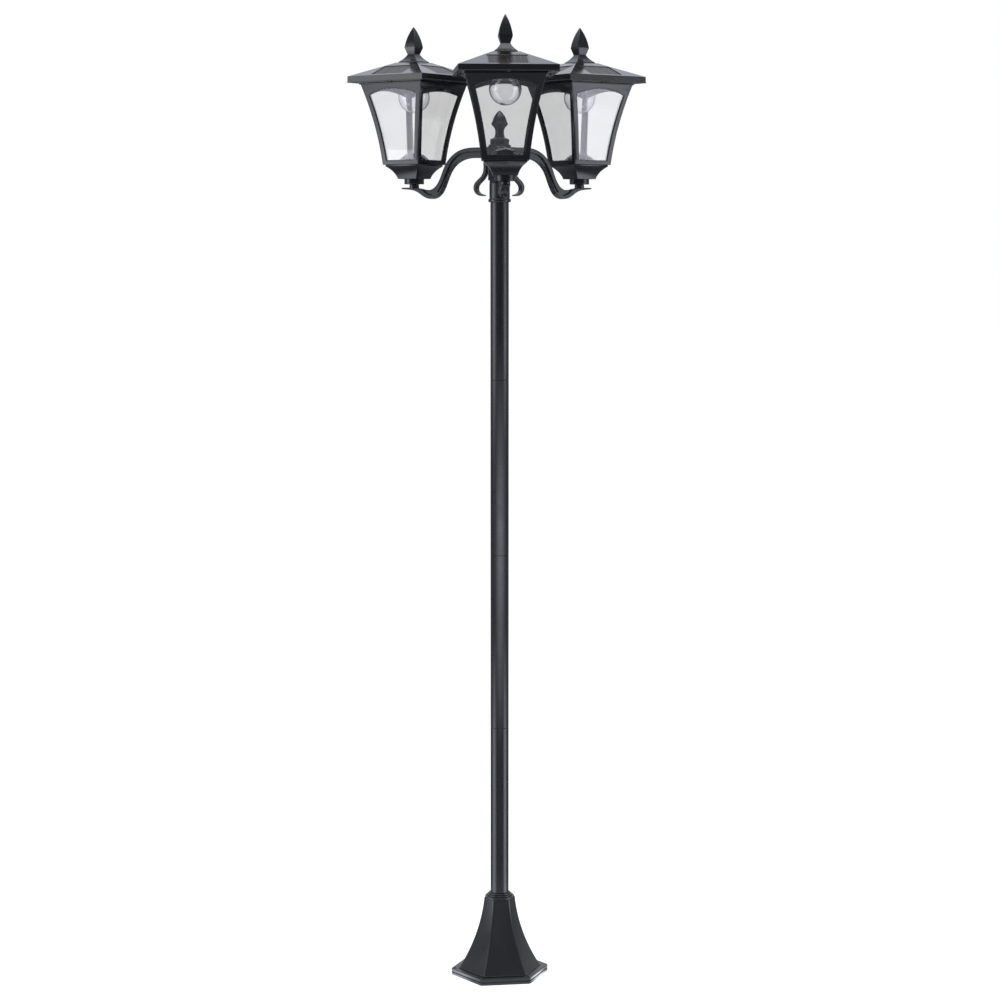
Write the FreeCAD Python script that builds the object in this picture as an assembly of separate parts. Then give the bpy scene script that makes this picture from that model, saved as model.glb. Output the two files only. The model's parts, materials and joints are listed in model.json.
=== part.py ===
import FreeCAD, Part
import math
import os

# Triple-head solar lamp post. Millimetres, +Z up. The origin is on the pole's axis at the ground.
# Head 1 hangs out over -Y, and heads 2 and 3 follow at thirds of a turn.
# Every head is drawn in its own frame first: its axis on Z, its outward side to +X.

Vector = FreeCAD.Vector
AXIS = Vector(0, 0, 1)
ORIGIN = Vector(0, 0, 0)

# ---- fits and clearances -------------------------------------------------------------------
slide_fit = 0.05          # radial, plugs in tubes and screws in their holes
turning_fit = 0.10        # radial, head around its stud
seat_gap = 0.3            # between a body that moves and what it rests on
panel_gap = 0.15          # around panes, panels and the globe
cover_gap = 0.2           # around plates that drop into a rim

# ---- base ----------------------------------------------------------------------------------
base_turn = 5.0           # degrees, the first corner of the hexagon from +X
flange_corner = 96.0      # hexagon sizes are given to the corner
flange_rim = 5.5          # height of each of the two rims
flange_groove_height = 1.2
flange_groove_depth = 2.0
flange_corner_round = 8.0
flange_edge_round = 1.0
flange_step_corner = 82.0
flange_step = 2.0
skirt_foot_corner = 79.5
skirt_top_corner = 31.0
skirt_height = 137.8      # from the flange's step to the deck under the pole
skirt_bow = 7.4
skirt_wall = 3.0
skirt_edge_round = 8.0
deck_thickness = 4.0
spigot_height = 30.0
anchor_circle = 88.0      # radius of the anchor holes' circle
anchor_hole = 3.25        # radius
anchor_count = 3

# ---- base ring, three turned steps around the pole's foot ----------------------------------
ring_outer = 28.2
ring_middle = 24.6
ring_inner = 21.0
ring_low_height = 3.4
ring_mid_height = 3.2
ring_top_height = 3.4
ring_round = 1.3

# ---- pole ----------------------------------------------------------------------------------
pole_radius = 17.5
pole_wall = 1.5
pole_section_length = 336.25
pole_section_count = 4
pole_end_chamfer = 0.6
coupler_length = 60.0
coupler_wall = 2.0

# ---- collar, hub and hub finial ------------------------------------------------------------
collar_radius = 19.4
collar_lip_radius = 21.4
collar_lip_height = 6.0
collar_height = 36.0
collar_wall = 3.5
collar_chamfer = 1.0
hub_corner = 19.3
hub_turn = 30.0           # degrees, so that three of its flats face the arms
hub_bore = 7.0
hub_flange_corner = 21.3
hub_flange_height = 2.5
hub_finial_corner = 18.0
hub_finial_block = 10.0
hub_finial_neck = 8.5
hub_finial_ear = 16.3
hub_finial_leaf = 13.4
hub_finial_height = 63.5
hub_finial_ear_height = 38.5
hub_finial_neck_height = 21.5
hub_finial_pin_length = 14.0
hub_finial_tip = 0.85
hub_finial_belly = 0.68   # half width at the leaf's middle, of its widest

# ---- arms ----------------------------------------------------------------------------------
head_count = 3
head_first = -90.0        # degrees, head 1 from +X
lantern_turns = (-2.3, 2.0, -9.2)  # degrees that each lantern stands turned on its stud
lid_turns = (3.2, 0.0, 0.0)        # degrees that each lid sits turned on its lantern, within its play
arm_reach = 184.0         # pole axis to head axis
arm_width = 15.0
arm_seat_rise = 29.0      # arm's end above the pole's top
arm_run_rise = 64.0       # top run above the arm's end
arm_root_thickness = 22.0
arm_plate_width = 17.0
arm_plate_thickness = 4.0
arm_plate_height = 64.0
arm_plate_lip = 12.0      # plate above the middle of the top run
arm_slit_depth = 3.4
neck_radius = 9.25
neck_height = 6.0
stud_radius = 4.0
# Centre line of the S bend: distance inward from the head axis, height over the arm's end, thickness.
arm_bend = [
    (145.0, 64.0, 20.0), (124.0, 64.0, 19.5), (103.0, 59.5, 18.5), (87.0, 49.5, 16.5),
    (74.5, 34.0, 14.0), (67.0, 17.5, 13.0), (60.0, 3.0, 14.5), (52.0, -7.5, 17.0),
    (40.5, -13.2, 17.5), (25.5, -11.0, 13.5), (11.0, -5.2, 7.5), (0.0, -2.6, 5.2),
    (-12.0, -1.9, 3.8), (-24.5, -1.3, 2.6),
]
# The two slits in each side of the bend, in the same way: one down the run, one beside the neck.
arm_slits = [
    [(150.0, 66.4, 1.8), (124.0, 66.4, 1.8), (102.5, 60.7, 2.6), (87.9, 48.5, 3.0),
     (77.3, 32.3, 2.6), (69.5, 16.3, 2.0), (62.4, 1.6, 1.8), (53.9, -9.8, 1.8)],
    [(19.5, -2.6, 1.8), (25.0, -5.8, 2.8), (30.0, -9.3, 3.6), (36.0, -12.2, 3.0),
     (43.0, -14.2, 1.8)],
]
# Scroll under the arm: distance from the pole axis, height over the arm's end, thickness.
scroll_curl = [
    (28.5, 56.0, 7.5), (28.5, 42.0, 7.0), (29.0, 29.0, 7.0), (33.5, 19.0, 7.0), (42.0, 10.5, 7.5),
    (48.5, 3.0, 7.5), (49.5, -4.0, 7.0), (47.0, -10.0, 6.0), (40.0, -14.8, 4.2), (31.0, -15.8, 2.2),
]
scroll_width = 12.0
arm_screw_radius = 2.0
arm_screw_head = 3.8
arm_screw_head_height = 2.8
arm_screw_length = 11.0
arm_screw_drops = (17.0, 46.0)   # below the middle of the top run

# ---- socket bell under the lantern ---------------------------------------------------------
socket_radius = 19.0
socket_height = 10.0
socket_round = 1.2
bell_foot_half = 22.6
bell_inset = 3.7          # top of the bell inside the frame's foot
bell_height = 27.0
bell_rim = 3.0            # straight rim at the bell's top
bell_bow = 2.6
bell_wall = 2.5
bell_edge_round = 1.2

# ---- lantern frame -------------------------------------------------------------------------
frame_foot_half = 43.2
frame_top_half = 73.3
frame_height = 153.7
frame_bow = 3.8
frame_wall = 3.0
frame_floor = 3.0
frame_edge_round = 0.9
frame_bead = 1.2
frame_bead_height = 2.6
stile_width = 11.5
sill_height = 8.5
crown_depth = 11.7        # top of the frame to the top of the window's arch
arch_rise = 11.0
rebate_width = 1.6
rebate_depth = 1.2
pane_thickness = 2.0
pane_top_inset = 4.0
nut_across = 13.0
nut_height = 6.5
washer_radius = 9.0
washer_thickness = 1.5
stud_end = 1.5
cover_radius = 28.5
cover_wall = 2.0
cover_skirt = 6.0
cover_rise = 14.0

# ---- lid: roof shell, soffit plate and what they carry -------------------------------------
eave_overhang = 17.1      # roof's eave beyond the frame's top
fascia_height = 12.0
roof_top_half = 25.0
roof_rise = 26.8
roof_wall = 3.6
fascia_bead = 0.9
fascia_bead_height = 1.6
soffit_thickness = 2.0
soffit_recess = 0.6
soffit_seat_margin = 1.5  # seat beyond the frame's bead
soffit_seat_height = 1.2
locator_clearance = 3.8   # around the locating rim, to the panes: the lid's play
locator_wall = 2.0
locator_depth = 6.0
panel_width = 74.0
panel_length = 46.5
panel_thickness = 1.4
panel_sink = 1.2          # face of the panel below the slope
panel_from_eave = 5.5
finial_cap_half = 21.5
finial_cap_edge = 1.6
finial_neck_half = 8.8
finial_neck_height = 15.6
finial_wide_half = 13.0
finial_wide_height = 28.6
finial_height = 67.3
finial_tip_half = 0.9
finial_belly = 0.72       # half width at the belly, of the widest
finial_belly_rise = 0.46  # belly's place between the widest and the tip
finial_pin_radius = 3.0
finial_pin_length = 6.0
globe_radius = 29.5
globe_wall = 1.2
globe_drop = 27.0         # soffit's underside to the globe's centre
globe_mouth_rise = 21.0   # globe's centre to its open end
holder_radius = 24.5
holder_depth = 10.0
holder_bore = 18.0
holder_back = 2.6
led_radius = 5.0
led_height = 1.6
cell_radius = 7.0
cell_length = 50.0
cell_pitch = 15.0
tray_margin = 3.0
tray_height = 8.0
board_length = 40.0
board_width = 24.0
board_thickness = 1.6
board_stand = 5.0
board_leg = 2.0
board_offset = 44.0
screw_from_eave = 8.4     # roof screws, at the middle of each side
screw_radius = 1.5
screw_head_radius = 2.6
screw_head_height = 2.2
screw_length = 9.0
boss_radius = 3.6
switch_offset = 44.0
switch_stem = 4.0
switch_travel = 3.0
switch_proud = 2.6
switch_flange = 2.2       # flange beyond the stem, each side
switch_flange_height = 1.4

# ---- sizes that follow from the ones above -------------------------------------------------
hub_finial_pin = hub_bore - slide_fit
bell_top_half = frame_foot_half - bell_inset
eave_half = frame_top_half + eave_overhang
soffit_seat_half = frame_top_half + frame_bead + soffit_seat_margin
screw_circle = eave_half - screw_from_eave

# ---- heights that follow -------------------------------------------------------------------
flange_height = 2 * flange_rim + flange_groove_height
step_z = flange_height + flange_step
deck_z = step_z + skirt_height
pole_top_z = deck_z + pole_section_count * pole_section_length
collar_top_z = pole_top_z + collar_height
arm_end_z = pole_top_z + arm_seat_rise
arm_run_z = arm_end_z + arm_run_rise
arm_plate_top_z = arm_run_z + arm_plate_lip
hub_top_z = arm_plate_top_z + hub_flange_height
neck_top_z = arm_end_z + neck_height
socket_z = neck_top_z + seat_gap
bell_z = socket_z + socket_height
frame_z = bell_z + bell_height
floor_z = frame_z + frame_floor
frame_top_z = frame_z + frame_height
nut_z = floor_z + seat_gap + washer_thickness
stud_top_z = nut_z + nut_height + stud_end
seat_z = frame_top_z + seat_gap
soffit_z = seat_z + soffit_seat_height
soffit_top_z = soffit_z + soffit_thickness
fascia_z = soffit_z - soffit_recess
eave_z = fascia_z + fascia_height
roof_top_z = eave_z + roof_rise
globe_z = soffit_z - globe_drop
pole_bore = pole_radius - pole_wall
roof_slope = math.degrees(math.atan2(roof_rise, eave_half - roof_top_half))


def point(place, y=0.0):
    """A 2-D place (across, height) as a point in the XZ plane."""
    return Vector(place[0], y, place[1])


def path_edges(start, steps):
    """Lines and arcs from start. A step is a place, or a pair: a place passed through and the arc's end."""
    edges = []
    here = start
    for step in steps:
        if isinstance(step[0], tuple):
            through, there = step
            edges.append(Part.Arc(point(here), point(through), point(there)).toShape())
        else:
            there = step
            edges.append(Part.makeLine(point(here), point(there)))
        here = there
    return edges, here


def closed_face(start, *steps):
    """Face in the XZ plane, closed back to its start by a line."""
    edges, end = path_edges(start, steps)
    if end != start:
        edges.append(Part.makeLine(point(end), point(start)))
    return Part.Face(Part.Wire(edges))


def mirrored_face(start, *steps):
    """Face in the XZ plane with the path as its +X side and the mirrored path as its -X side."""
    right, end = path_edges(start, steps)
    left = [edge.mirror(ORIGIN, Vector(1, 0, 0)) for edge in right]
    bottom = Part.makeLine(point((-start[0], start[1])), point(start))
    top = Part.makeLine(point(end), point((-end[0], end[1])))
    loop = Part.sortEdges([bottom] + right + [top] + left)[0]
    return Part.Face(Part.Wire(loop))


def sided(face, sides, turn=0.0):
    """Solid with an even number of like sides, each with the face's outline: crossed slabs."""
    reach = 2 * face.BoundBox.XMax
    solid = None
    for index in range(sides // 2):
        slab = face.extrude(Vector(0, 2 * reach, 0))
        slab.translate(Vector(0, -reach, 0))
        slab.rotate(ORIGIN, AXIS, turn + index * 360.0 / sides)
        solid = slab if solid is None else solid.common(slab)
    return solid


def turned(start, *steps):
    """Solid of revolution about Z from an outline of (radius, height)."""
    return closed_face(start, *steps).revolve(ORIGIN, AXIS, 360)


def box(centre_x, centre_y, low_z, size_x, size_y, size_z):
    """Block centred in X and Y on a place, standing on low_z."""
    corner = Vector(centre_x - size_x / 2, centre_y - size_y / 2, low_z)
    return Part.makeBox(size_x, size_y, size_z, corner)


def rod(radius, low_z, high_z, x=0.0, y=0.0):
    """Upright cylinder."""
    return Part.makeCylinder(radius, high_z - low_z, Vector(x, y, low_z))


def polar(shape, count, first=0.0):
    """Copies of a shape turned about Z."""
    copies = []
    for index in range(count):
        copy = shape.copy()
        copy.rotate(ORIGIN, AXIS, first + index * 360.0 / count)
        copies.append(copy)
    return copies


def round_corners(solid, radius):
    """Round the long corner edges, the ones that run most of the solid's height."""
    tall = solid.BoundBox.ZLength / 2
    corners = [edge for edge in solid.Edges if edge.BoundBox.ZLength > tall]
    return solid.makeFillet(radius, corners)


class Flare:
    """Side line of a four- or six-sided body: an arc from its foot to its top, bowed towards the axis."""

    def __init__(self, foot_half, foot_z, top_half, top_z, bow):
        run = top_half - foot_half
        rise = top_z - foot_z
        chord = math.hypot(run, rise)
        self.radius = (chord ** 2 / 4 + bow ** 2) / (2 * bow)
        offset = (self.radius - bow) / chord
        self.centre_x = (foot_half + top_half) / 2 + rise * offset
        self.centre_z = (foot_z + top_z) / 2 - run * offset
        self.foot_z = foot_z
        self.top_z = top_z

    def half(self, z, inset=0.0):
        """Half width at a height."""
        return self.centre_x - math.sqrt(self.radius ** 2 - (z - self.centre_z) ** 2) - inset

    def place(self, z, inset=0.0):
        """Place on the side line."""
        return (self.half(z, inset), z)

    def arc(self, from_z, to_z, inset=0.0):
        """Path step along the side line."""
        return (self.place((from_z + to_z) / 2, inset), self.place(to_z, inset))

    def face(self, inset=0.0, low_z=None, high_z=None):
        """Whole outline, mirrored."""
        low_z = self.foot_z if low_z is None else low_z
        high_z = self.top_z if high_z is None else high_z
        return mirrored_face(self.place(low_z, inset), self.arc(low_z, high_z, inset))


# ---- base and pole -------------------------------------------------------------------------
HEX = math.cos(math.pi / 6)
hex_turn = base_turn + 30.0
anchor_first = base_turn + 60.0


def hexagon(corner, low_z, high_z, turn):
    """Hexagonal prism given to its corners."""
    half = corner * HEX
    return sided(mirrored_face((half, low_z), (half, high_z)), 6, turn)


def flange_rim_plate(low_z):
    """One rim of the flange, its corners and its edges rounded."""
    rim = round_corners(hexagon(flange_corner, low_z, low_z + flange_rim, hex_turn), flange_corner_round)
    edges = [edge for edge in rim.Edges if edge.BoundBox.ZLength < flange_edge_round]
    return rim.makeFillet(flange_edge_round, edges)


def base_skirt():
    """Hollow six-sided skirt on a two-rimmed flange, with the spigot that carries the pole."""
    groove_top = flange_rim + flange_groove_height
    groove = hexagon(flange_corner - flange_groove_depth, flange_rim, groove_top, hex_turn)
    flange = flange_rim_plate(0).fuse([round_corners(groove, flange_corner_round),
                                       flange_rim_plate(groove_top)])
    step = round_corners(hexagon(flange_step_corner, flange_height, step_z, hex_turn), skirt_edge_round)
    side = Flare(skirt_foot_corner * HEX, step_z, skirt_top_corner * HEX, deck_z, skirt_bow)
    skirt = round_corners(sided(side.face(), 6, hex_turn), skirt_edge_round)
    ceiling = deck_z - deck_thickness
    hollow = sided(side.face(skirt_wall, step_z, ceiling), 6, hex_turn)
    hollow = hollow.fuse(hexagon(side.half(step_z, skirt_wall) / HEX, 0, step_z, hex_turn))
    spigot = rod(pole_bore - slide_fit, deck_z, deck_z + spigot_height)
    spigot = spigot.cut(rod(pole_bore - slide_fit - coupler_wall, deck_z, deck_z + spigot_height))
    solid = flange.fuse([step, skirt, spigot]).cut(hollow)
    hole = rod(anchor_hole, 0, flange_height, anchor_circle)
    return solid.cut(polar(hole, anchor_count, anchor_first)).removeSplitter()


def base_ring():
    """Three turned steps around the foot of the pole."""
    bore = pole_radius + slide_fit
    low = deck_z + ring_low_height
    middle = low + ring_mid_height
    top = middle + ring_top_height
    curve = ring_round * (1 - math.sqrt(0.5))
    return turned(
        (bore, deck_z), (ring_outer, deck_z), (ring_outer, low - ring_round),
        ((ring_outer - curve, low - curve), (ring_outer - ring_round, low)),
        (ring_middle, low), (ring_middle, middle - ring_round),
        ((ring_middle - curve, middle - curve), (ring_middle - ring_round, middle)),
        (ring_inner, middle), (ring_inner, top - ring_round),
        ((ring_inner - curve, top - curve), (ring_inner - ring_round, top)),
        (bore, top))


def pole_section(index):
    """One length of tube with chamfered ends."""
    low = deck_z + index * pole_section_length
    high = low + pole_section_length
    edge = pole_radius - pole_end_chamfer
    return turned(
        (pole_bore, low), (edge, low), (pole_radius, low + pole_end_chamfer),
        (pole_radius, high - pole_end_chamfer), (edge, high), (pole_bore, high))


def pole_coupler(index):
    """Plug inside the joint above one section."""
    joint = deck_z + (index + 1) * pole_section_length
    outer = pole_bore - slide_fit
    plug = rod(outer, joint - coupler_length / 2, joint + coupler_length / 2)
    return plug.cut(rod(outer - coupler_wall, joint - coupler_length / 2, joint + coupler_length / 2))


def top_collar():
    """Sleeve that caps the pole: a spigot inside the tube, a lip on its end, and a straight body."""
    plug = pole_bore - slide_fit
    inner = plug - coupler_wall
    wall_inner = collar_radius - collar_wall
    spigot_z = pole_top_z - spigot_height
    lip_z = pole_top_z + collar_lip_height
    lip_edge = collar_lip_radius - collar_chamfer
    return turned(
        (inner, spigot_z), (plug, spigot_z), (plug, pole_top_z), (lip_edge, pole_top_z),
        (collar_lip_radius, pole_top_z + collar_chamfer), (collar_lip_radius, lip_z - collar_chamfer),
        (lip_edge, lip_z), (collar_radius, lip_z), (collar_radius, collar_top_z),
        (wall_inner, collar_top_z), (wall_inner, lip_z), (inner, lip_z))


# ---- hub -----------------------------------------------------------------------------------
def arm_screw_places():
    """Heights of the screws that hold an arm to the hub."""
    return [arm_run_z - drop for drop in arm_screw_drops]


def arm_screw(height, grow=0.0):
    """Pan-head screw through the arm's plate, along +X; grow widens it into its own hole."""
    seat = hub_corner * HEX + arm_plate_thickness
    shank = Part.makeCylinder(arm_screw_radius + grow, arm_screw_length,
                              Vector(seat - arm_screw_length, 0, height), Vector(1, 0, 0))
    head = Part.makeCylinder(arm_screw_head, arm_screw_head_height,
                             Vector(seat, 0, height), Vector(1, 0, 0))
    return shank.fuse(head)


def arm_screws():
    """All the arm screws, each a solid of its own."""
    screws = []
    for height in arm_screw_places():
        screws.extend(polar(arm_screw(height), head_count, head_first))
    return Part.makeCompound(screws)


def arm_hub():
    """Six-sided block on the collar that the arms are screwed to, with a thin flange on top."""
    block = hexagon(hub_corner, collar_top_z, arm_plate_top_z, hub_turn)
    flange = hexagon(hub_flange_corner, arm_plate_top_z, hub_top_z, hub_turn)
    hub = block.fuse(flange).cut(rod(hub_bore, collar_top_z, hub_top_z))
    for height in arm_screw_places():
        hub = hub.cut(polar(arm_screw(height, slide_fit), head_count, head_first))
    return hub.removeSplitter()


def hub_finial():
    """Six-sided leaf finial with pointed ears, plugged into the hub."""
    block_z = hub_top_z + hub_finial_block
    neck_z = hub_top_z + hub_finial_neck_height
    ear_z = hub_top_z + hub_finial_ear_height
    top_z = hub_top_z + hub_finial_height
    neck = hub_finial_neck * HEX
    ear = hub_finial_ear * HEX
    leaf = hub_finial_leaf * HEX
    leaf_z = ear_z + (hub_finial_ear - hub_finial_leaf) * 2
    tip = hub_finial_tip
    outline = mirrored_face(
        (hub_finial_corner * HEX, hub_top_z), (hub_finial_corner * HEX, block_z),
        (neck + 2 * tip, block_z + (neck_z - block_z) / 3),
        ((neck, neck_z), (neck + tip, neck_z + (ear_z - neck_z) / 2)),
        (ear, ear_z), (leaf, leaf_z),
        ((leaf * hub_finial_belly, (leaf_z + top_z) / 2 + tip), (tip, top_z)))
    pin = rod(hub_finial_pin, hub_top_z - hub_finial_pin_length, hub_top_z)
    return sided(outline, 6, hub_turn).fuse(pin)


# ---- arms ----------------------------------------------------------------------------------
def ribbon(stations, width):
    """Bar in the XZ plane: two smooth edges beside a centre line of (x, z, thickness)."""
    upper = []
    lower = []
    last = len(stations) - 1
    for index, (x, z, thickness) in enumerate(stations):
        before = stations[max(index - 1, 0)]
        after = stations[min(index + 1, last)]
        run = after[0] - before[0]
        rise = after[1] - before[1]
        half = thickness / 2 / math.hypot(run, rise)
        upper.append(Vector(x - rise * half, -width / 2, z + run * half))
        lower.append(Vector(x + rise * half, -width / 2, z - run * half))
    edges = []
    for side in (upper, lower):
        curve = Part.BSplineCurve()
        curve.interpolate(side)
        edges.append(curve.toShape())
    ends = [Part.makeLine(upper[0], lower[0]), Part.makeLine(upper[-1], lower[-1])]
    loop = Part.sortEdges(edges + ends)[0]
    return Part.Face(Part.Wire(loop)).extrude(Vector(0, width, 0))


def along_arm(stations):
    """Stations given from the head axis and the arm's end, as places in the XZ plane."""
    return [(arm_reach - inward, arm_end_z + height, thick) for inward, height, thick in stations]


def arm():
    """Cast arm along +X: plate, S bend with slits in its sides, scroll, neck and the head's stud."""
    plate_x = hub_corner * HEX
    plate_middle = plate_x + arm_plate_thickness / 2
    plate = box(plate_middle, 0, arm_plate_top_z - arm_plate_height,
                arm_plate_thickness, arm_plate_width, arm_plate_height)
    root = [(plate_middle, arm_run_z, arm_root_thickness)]
    bar = ribbon(root + along_arm(arm_bend), arm_width)
    web = box(arm_reach / 2, 0, pole_top_z, 2 * arm_reach, arm_width - 2 * arm_slit_depth,
              arm_plate_top_z)
    slits = [ribbon(along_arm(slit), 2 * arm_width).cut(web) for slit in arm_slits]
    curl = [(x, arm_end_z + height, thick) for x, height, thick in scroll_curl]
    scroll = ribbon(curl, scroll_width)
    neck = rod(neck_radius, arm_end_z - neck_height / 2, neck_top_z, arm_reach)
    stud = rod(stud_radius, neck_top_z, stud_top_z, arm_reach)
    solid = bar.cut(slits).fuse([plate, scroll, neck, stud])
    for height in arm_screw_places():
        solid = solid.cut(arm_screw(height, slide_fit))
    return solid.removeSplitter()


def stud_nuts():
    """Nut and washer on every arm's stud, above the lantern's floor."""
    bore = rod(stud_radius + slide_fit, floor_z, stud_top_z, arm_reach)
    washer = rod(washer_radius, floor_z + seat_gap, nut_z, arm_reach).cut(bore)
    nut = hexagon(nut_across / 2 / HEX, nut_z, nut_z + nut_height, 0.0)
    nut.translate(Vector(arm_reach, 0, 0))
    nut = nut.cut(bore)
    return Part.makeCompound(polar(washer, head_count, head_first) + polar(nut, head_count, head_first))


# ---- lantern body --------------------------------------------------------------------------
def socket_bell():
    """Four-sided hollow bell with a round socket under it, turning on the stud."""
    rim_z = frame_z - bell_rim
    side = Flare(bell_foot_half, bell_z, bell_top_half, rim_z, bell_bow)
    bell = round_corners(sided(side.face(), 4), bell_edge_round)
    rim = sided(mirrored_face((bell_top_half, rim_z), (bell_top_half, frame_z)), 4)
    bell = bell.fuse(round_corners(rim, bell_edge_round))
    low = bell_z + bell_wall
    hollow = mirrored_face(side.place(low, bell_wall), side.arc(low, rim_z, bell_wall),
                           (side.half(rim_z, bell_wall), frame_z))
    bell = bell.cut(sided(hollow, 4))
    curve = socket_round * (1 - math.sqrt(0.5))
    socket = turned(
        (0, socket_z), (socket_radius - socket_round, socket_z),
        ((socket_radius - curve, socket_z + curve), (socket_radius, socket_z + socket_round)),
        (socket_radius, bell_z), (0, bell_z))
    bore = rod(stud_radius + turning_fit, socket_z, frame_z)
    return bell.fuse(socket).cut(bore).removeSplitter()


def frame_side():
    """Side line of the lantern frame."""
    return Flare(frame_foot_half, frame_z, frame_top_half, frame_top_z, frame_bow)


def window(side, widen=0.0):
    """Slab through both walls with the outline of the window: sides along the stiles, an arched top."""
    inset = stile_width - widen
    low = frame_z + sill_height - widen
    crown = frame_top_z - crown_depth + widen
    spring = crown - arch_rise
    face = mirrored_face(side.place(low, inset), side.arc(low, spring, inset))
    corner = side.half(spring, inset)
    arch = closed_face((corner, spring), ((0, crown), (-corner, spring)))
    face = face.fuse(arch).removeSplitter().Faces[0]
    slab = face.extrude(Vector(0, 2 * eave_half, 0))
    slab.translate(Vector(0, -eave_half, 0))
    return slab


def lantern_frame():
    """Flared four-window cage with a floor, a bead at its top and a rebate around each window."""
    side = frame_side()
    outer = round_corners(sided(side.face(), 4), frame_edge_round)
    bead_half = side.half(frame_top_z) + frame_bead
    bead = sided(mirrored_face((bead_half, frame_top_z - frame_bead_height), (bead_half, frame_top_z)), 4)
    cage = outer.fuse(bead)
    cage = cage.cut(sided(side.face(frame_wall, floor_z, frame_top_z), 4))
    skin = outer.cut(sided(side.face(rebate_depth), 4))
    opening = window(side)
    border = window(side, rebate_width)
    for turn in (0, 90):
        for cutter in (opening, skin.common(border)):
            cutter = cutter.copy()
            cutter.rotate(ORIGIN, AXIS, turn)
            cage = cage.cut(cutter)
    return cage.cut(rod(stud_radius + turning_fit, frame_z, floor_z)).removeSplitter()


def window_panes():
    """Four clear sheets that follow the inside of the frame, one behind each window."""
    side = frame_side()
    outer = frame_wall + panel_gap
    inner = outer + pane_thickness
    low = floor_z + panel_gap
    high = frame_top_z - pane_top_inset
    sheet = closed_face(side.place(low, inner), side.place(low, outer), side.arc(low, high, outer),
                        side.place(high, inner), side.arc(high, low, inner))
    sheet = sheet.extrude(Vector(0, 4 * eave_half, 0))
    sheet.translate(Vector(0, -2 * eave_half, 0))
    width = side.face(inner + panel_gap, low, high).extrude(Vector(0, 4 * eave_half, 0))
    width.translate(Vector(0, -2 * eave_half, 0))
    width.rotate(ORIGIN, AXIS, 90)
    return Part.makeCompound(polar(sheet.common(width), 4))


def nut_cover():
    """Domed cover over the nut, in the middle of the lantern's floor."""
    dome_z = floor_z + cover_skirt
    top_z = dome_z + cover_rise
    radius = (cover_radius ** 2 + cover_rise ** 2) / (2 * cover_rise)
    centre = top_z - radius
    inner = cover_radius - cover_wall
    thin = radius - cover_wall
    slant = math.radians(45) * cover_rise / cover_radius
    outer_mid = (radius * math.sin(slant), centre + radius * math.cos(slant))
    inner_mid = (thin * math.sin(slant), centre + thin * math.cos(slant))
    inner_z = centre + math.sqrt(thin ** 2 - inner ** 2)
    return turned(
        (inner, floor_z), (cover_radius, floor_z), (cover_radius, dome_z),
        (outer_mid, (0, top_z)), (0, top_z - cover_wall), (inner_mid, (inner, inner_z)))


# ---- lid -----------------------------------------------------------------------------------
def slope_plate(width, from_eave, length, thickness, sink=0.0):
    """Plate let into the +X slope of the roof, its top as far below the slope as it is sunk."""
    plate = Part.makeBox(length, width, thickness,
                         Vector(-from_eave - length, -width / 2, -thickness - sink))
    plate.rotate(ORIGIN, Vector(0, 1, 0), roof_slope)
    plate.translate(Vector(eave_half, 0, eave_z))
    return plate


def roof_screw(grow=0.0):
    """Screw up through the soffit plate into the roof's boss, at the middle of the +X side."""
    top = soffit_z + screw_length
    shank = rod(screw_radius + grow, soffit_z, top, screw_circle)
    head = rod(screw_head_radius, soffit_z - screw_head_height, soffit_z, screw_circle)
    return shank.fuse(head)


def roof_shell():
    """Hollow hipped roof with a straight fascia, four panel recesses and four screw bosses."""
    tangent = math.tan(math.radians(roof_slope))
    drop = roof_wall / math.cos(math.radians(roof_slope))
    inside = eave_half - roof_wall
    inside_eave = eave_z + roof_wall * tangent - drop
    inside_top = eave_half - (roof_top_z - roof_wall + drop - eave_z) / tangent
    outer = sided(mirrored_face((eave_half, fascia_z), (eave_half, eave_z),
                                (roof_top_half, roof_top_z)), 4)
    bead_half = eave_half + fascia_bead
    bead = sided(mirrored_face((bead_half, fascia_z), (bead_half, fascia_z + fascia_bead_height)), 4)
    inner = sided(mirrored_face((inside, fascia_z), (inside, inside_eave),
                                (inside_top, roof_top_z - roof_wall)), 4)
    boss_low = soffit_top_z + panel_gap
    boss = rod(boss_radius, boss_low, roof_top_z, screw_circle).common(outer)
    shell = outer.fuse(bead).cut(inner).fuse(polar(boss, 4))
    shell = shell.cut(polar(roof_screw(slide_fit), 4))
    recess = slope_plate(panel_width + 2 * panel_gap, panel_from_eave - panel_gap,
                         panel_length + 2 * panel_gap, panel_thickness + panel_sink)
    shell = shell.cut(polar(recess, 4))
    return shell.cut(rod(finial_pin_radius + slide_fit, eave_z, roof_top_z)).removeSplitter()


def soffit_plate():
    """Underside of the lid: plate in the fascia, seat on the frame, locating rim inside the frame."""
    half = eave_half - roof_wall - cover_gap
    plate = box(0, 0, soffit_z, 2 * half, 2 * half, soffit_thickness)
    seat = box(0, 0, seat_z, 2 * soffit_seat_half, 2 * soffit_seat_half, soffit_seat_height)
    rim_z = frame_top_z - locator_depth
    pane_inside = frame_wall + panel_gap + pane_thickness
    locator_half = frame_side().half(rim_z, pane_inside + locator_clearance)
    rim = box(0, 0, rim_z, 2 * locator_half, 2 * locator_half, locator_depth + seat_gap)
    inside = 2 * (locator_half - locator_wall)
    solid = plate.fuse([seat, rim])
    solid = solid.cut(box(0, 0, rim_z, inside, inside, locator_depth + seat_gap + soffit_seat_height))
    solid = solid.cut(polar(roof_screw(slide_fit), 4))
    slot = switch_stem + 2 * seat_gap
    return solid.cut(box(-switch_offset, 0, soffit_z, slot, slot + switch_travel, soffit_thickness))


def solar_panels():
    """Four panels, one in each slope."""
    panel = slope_plate(panel_width, panel_from_eave, panel_length, panel_thickness, panel_sink)
    return Part.makeCompound(polar(panel, 4))


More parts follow.
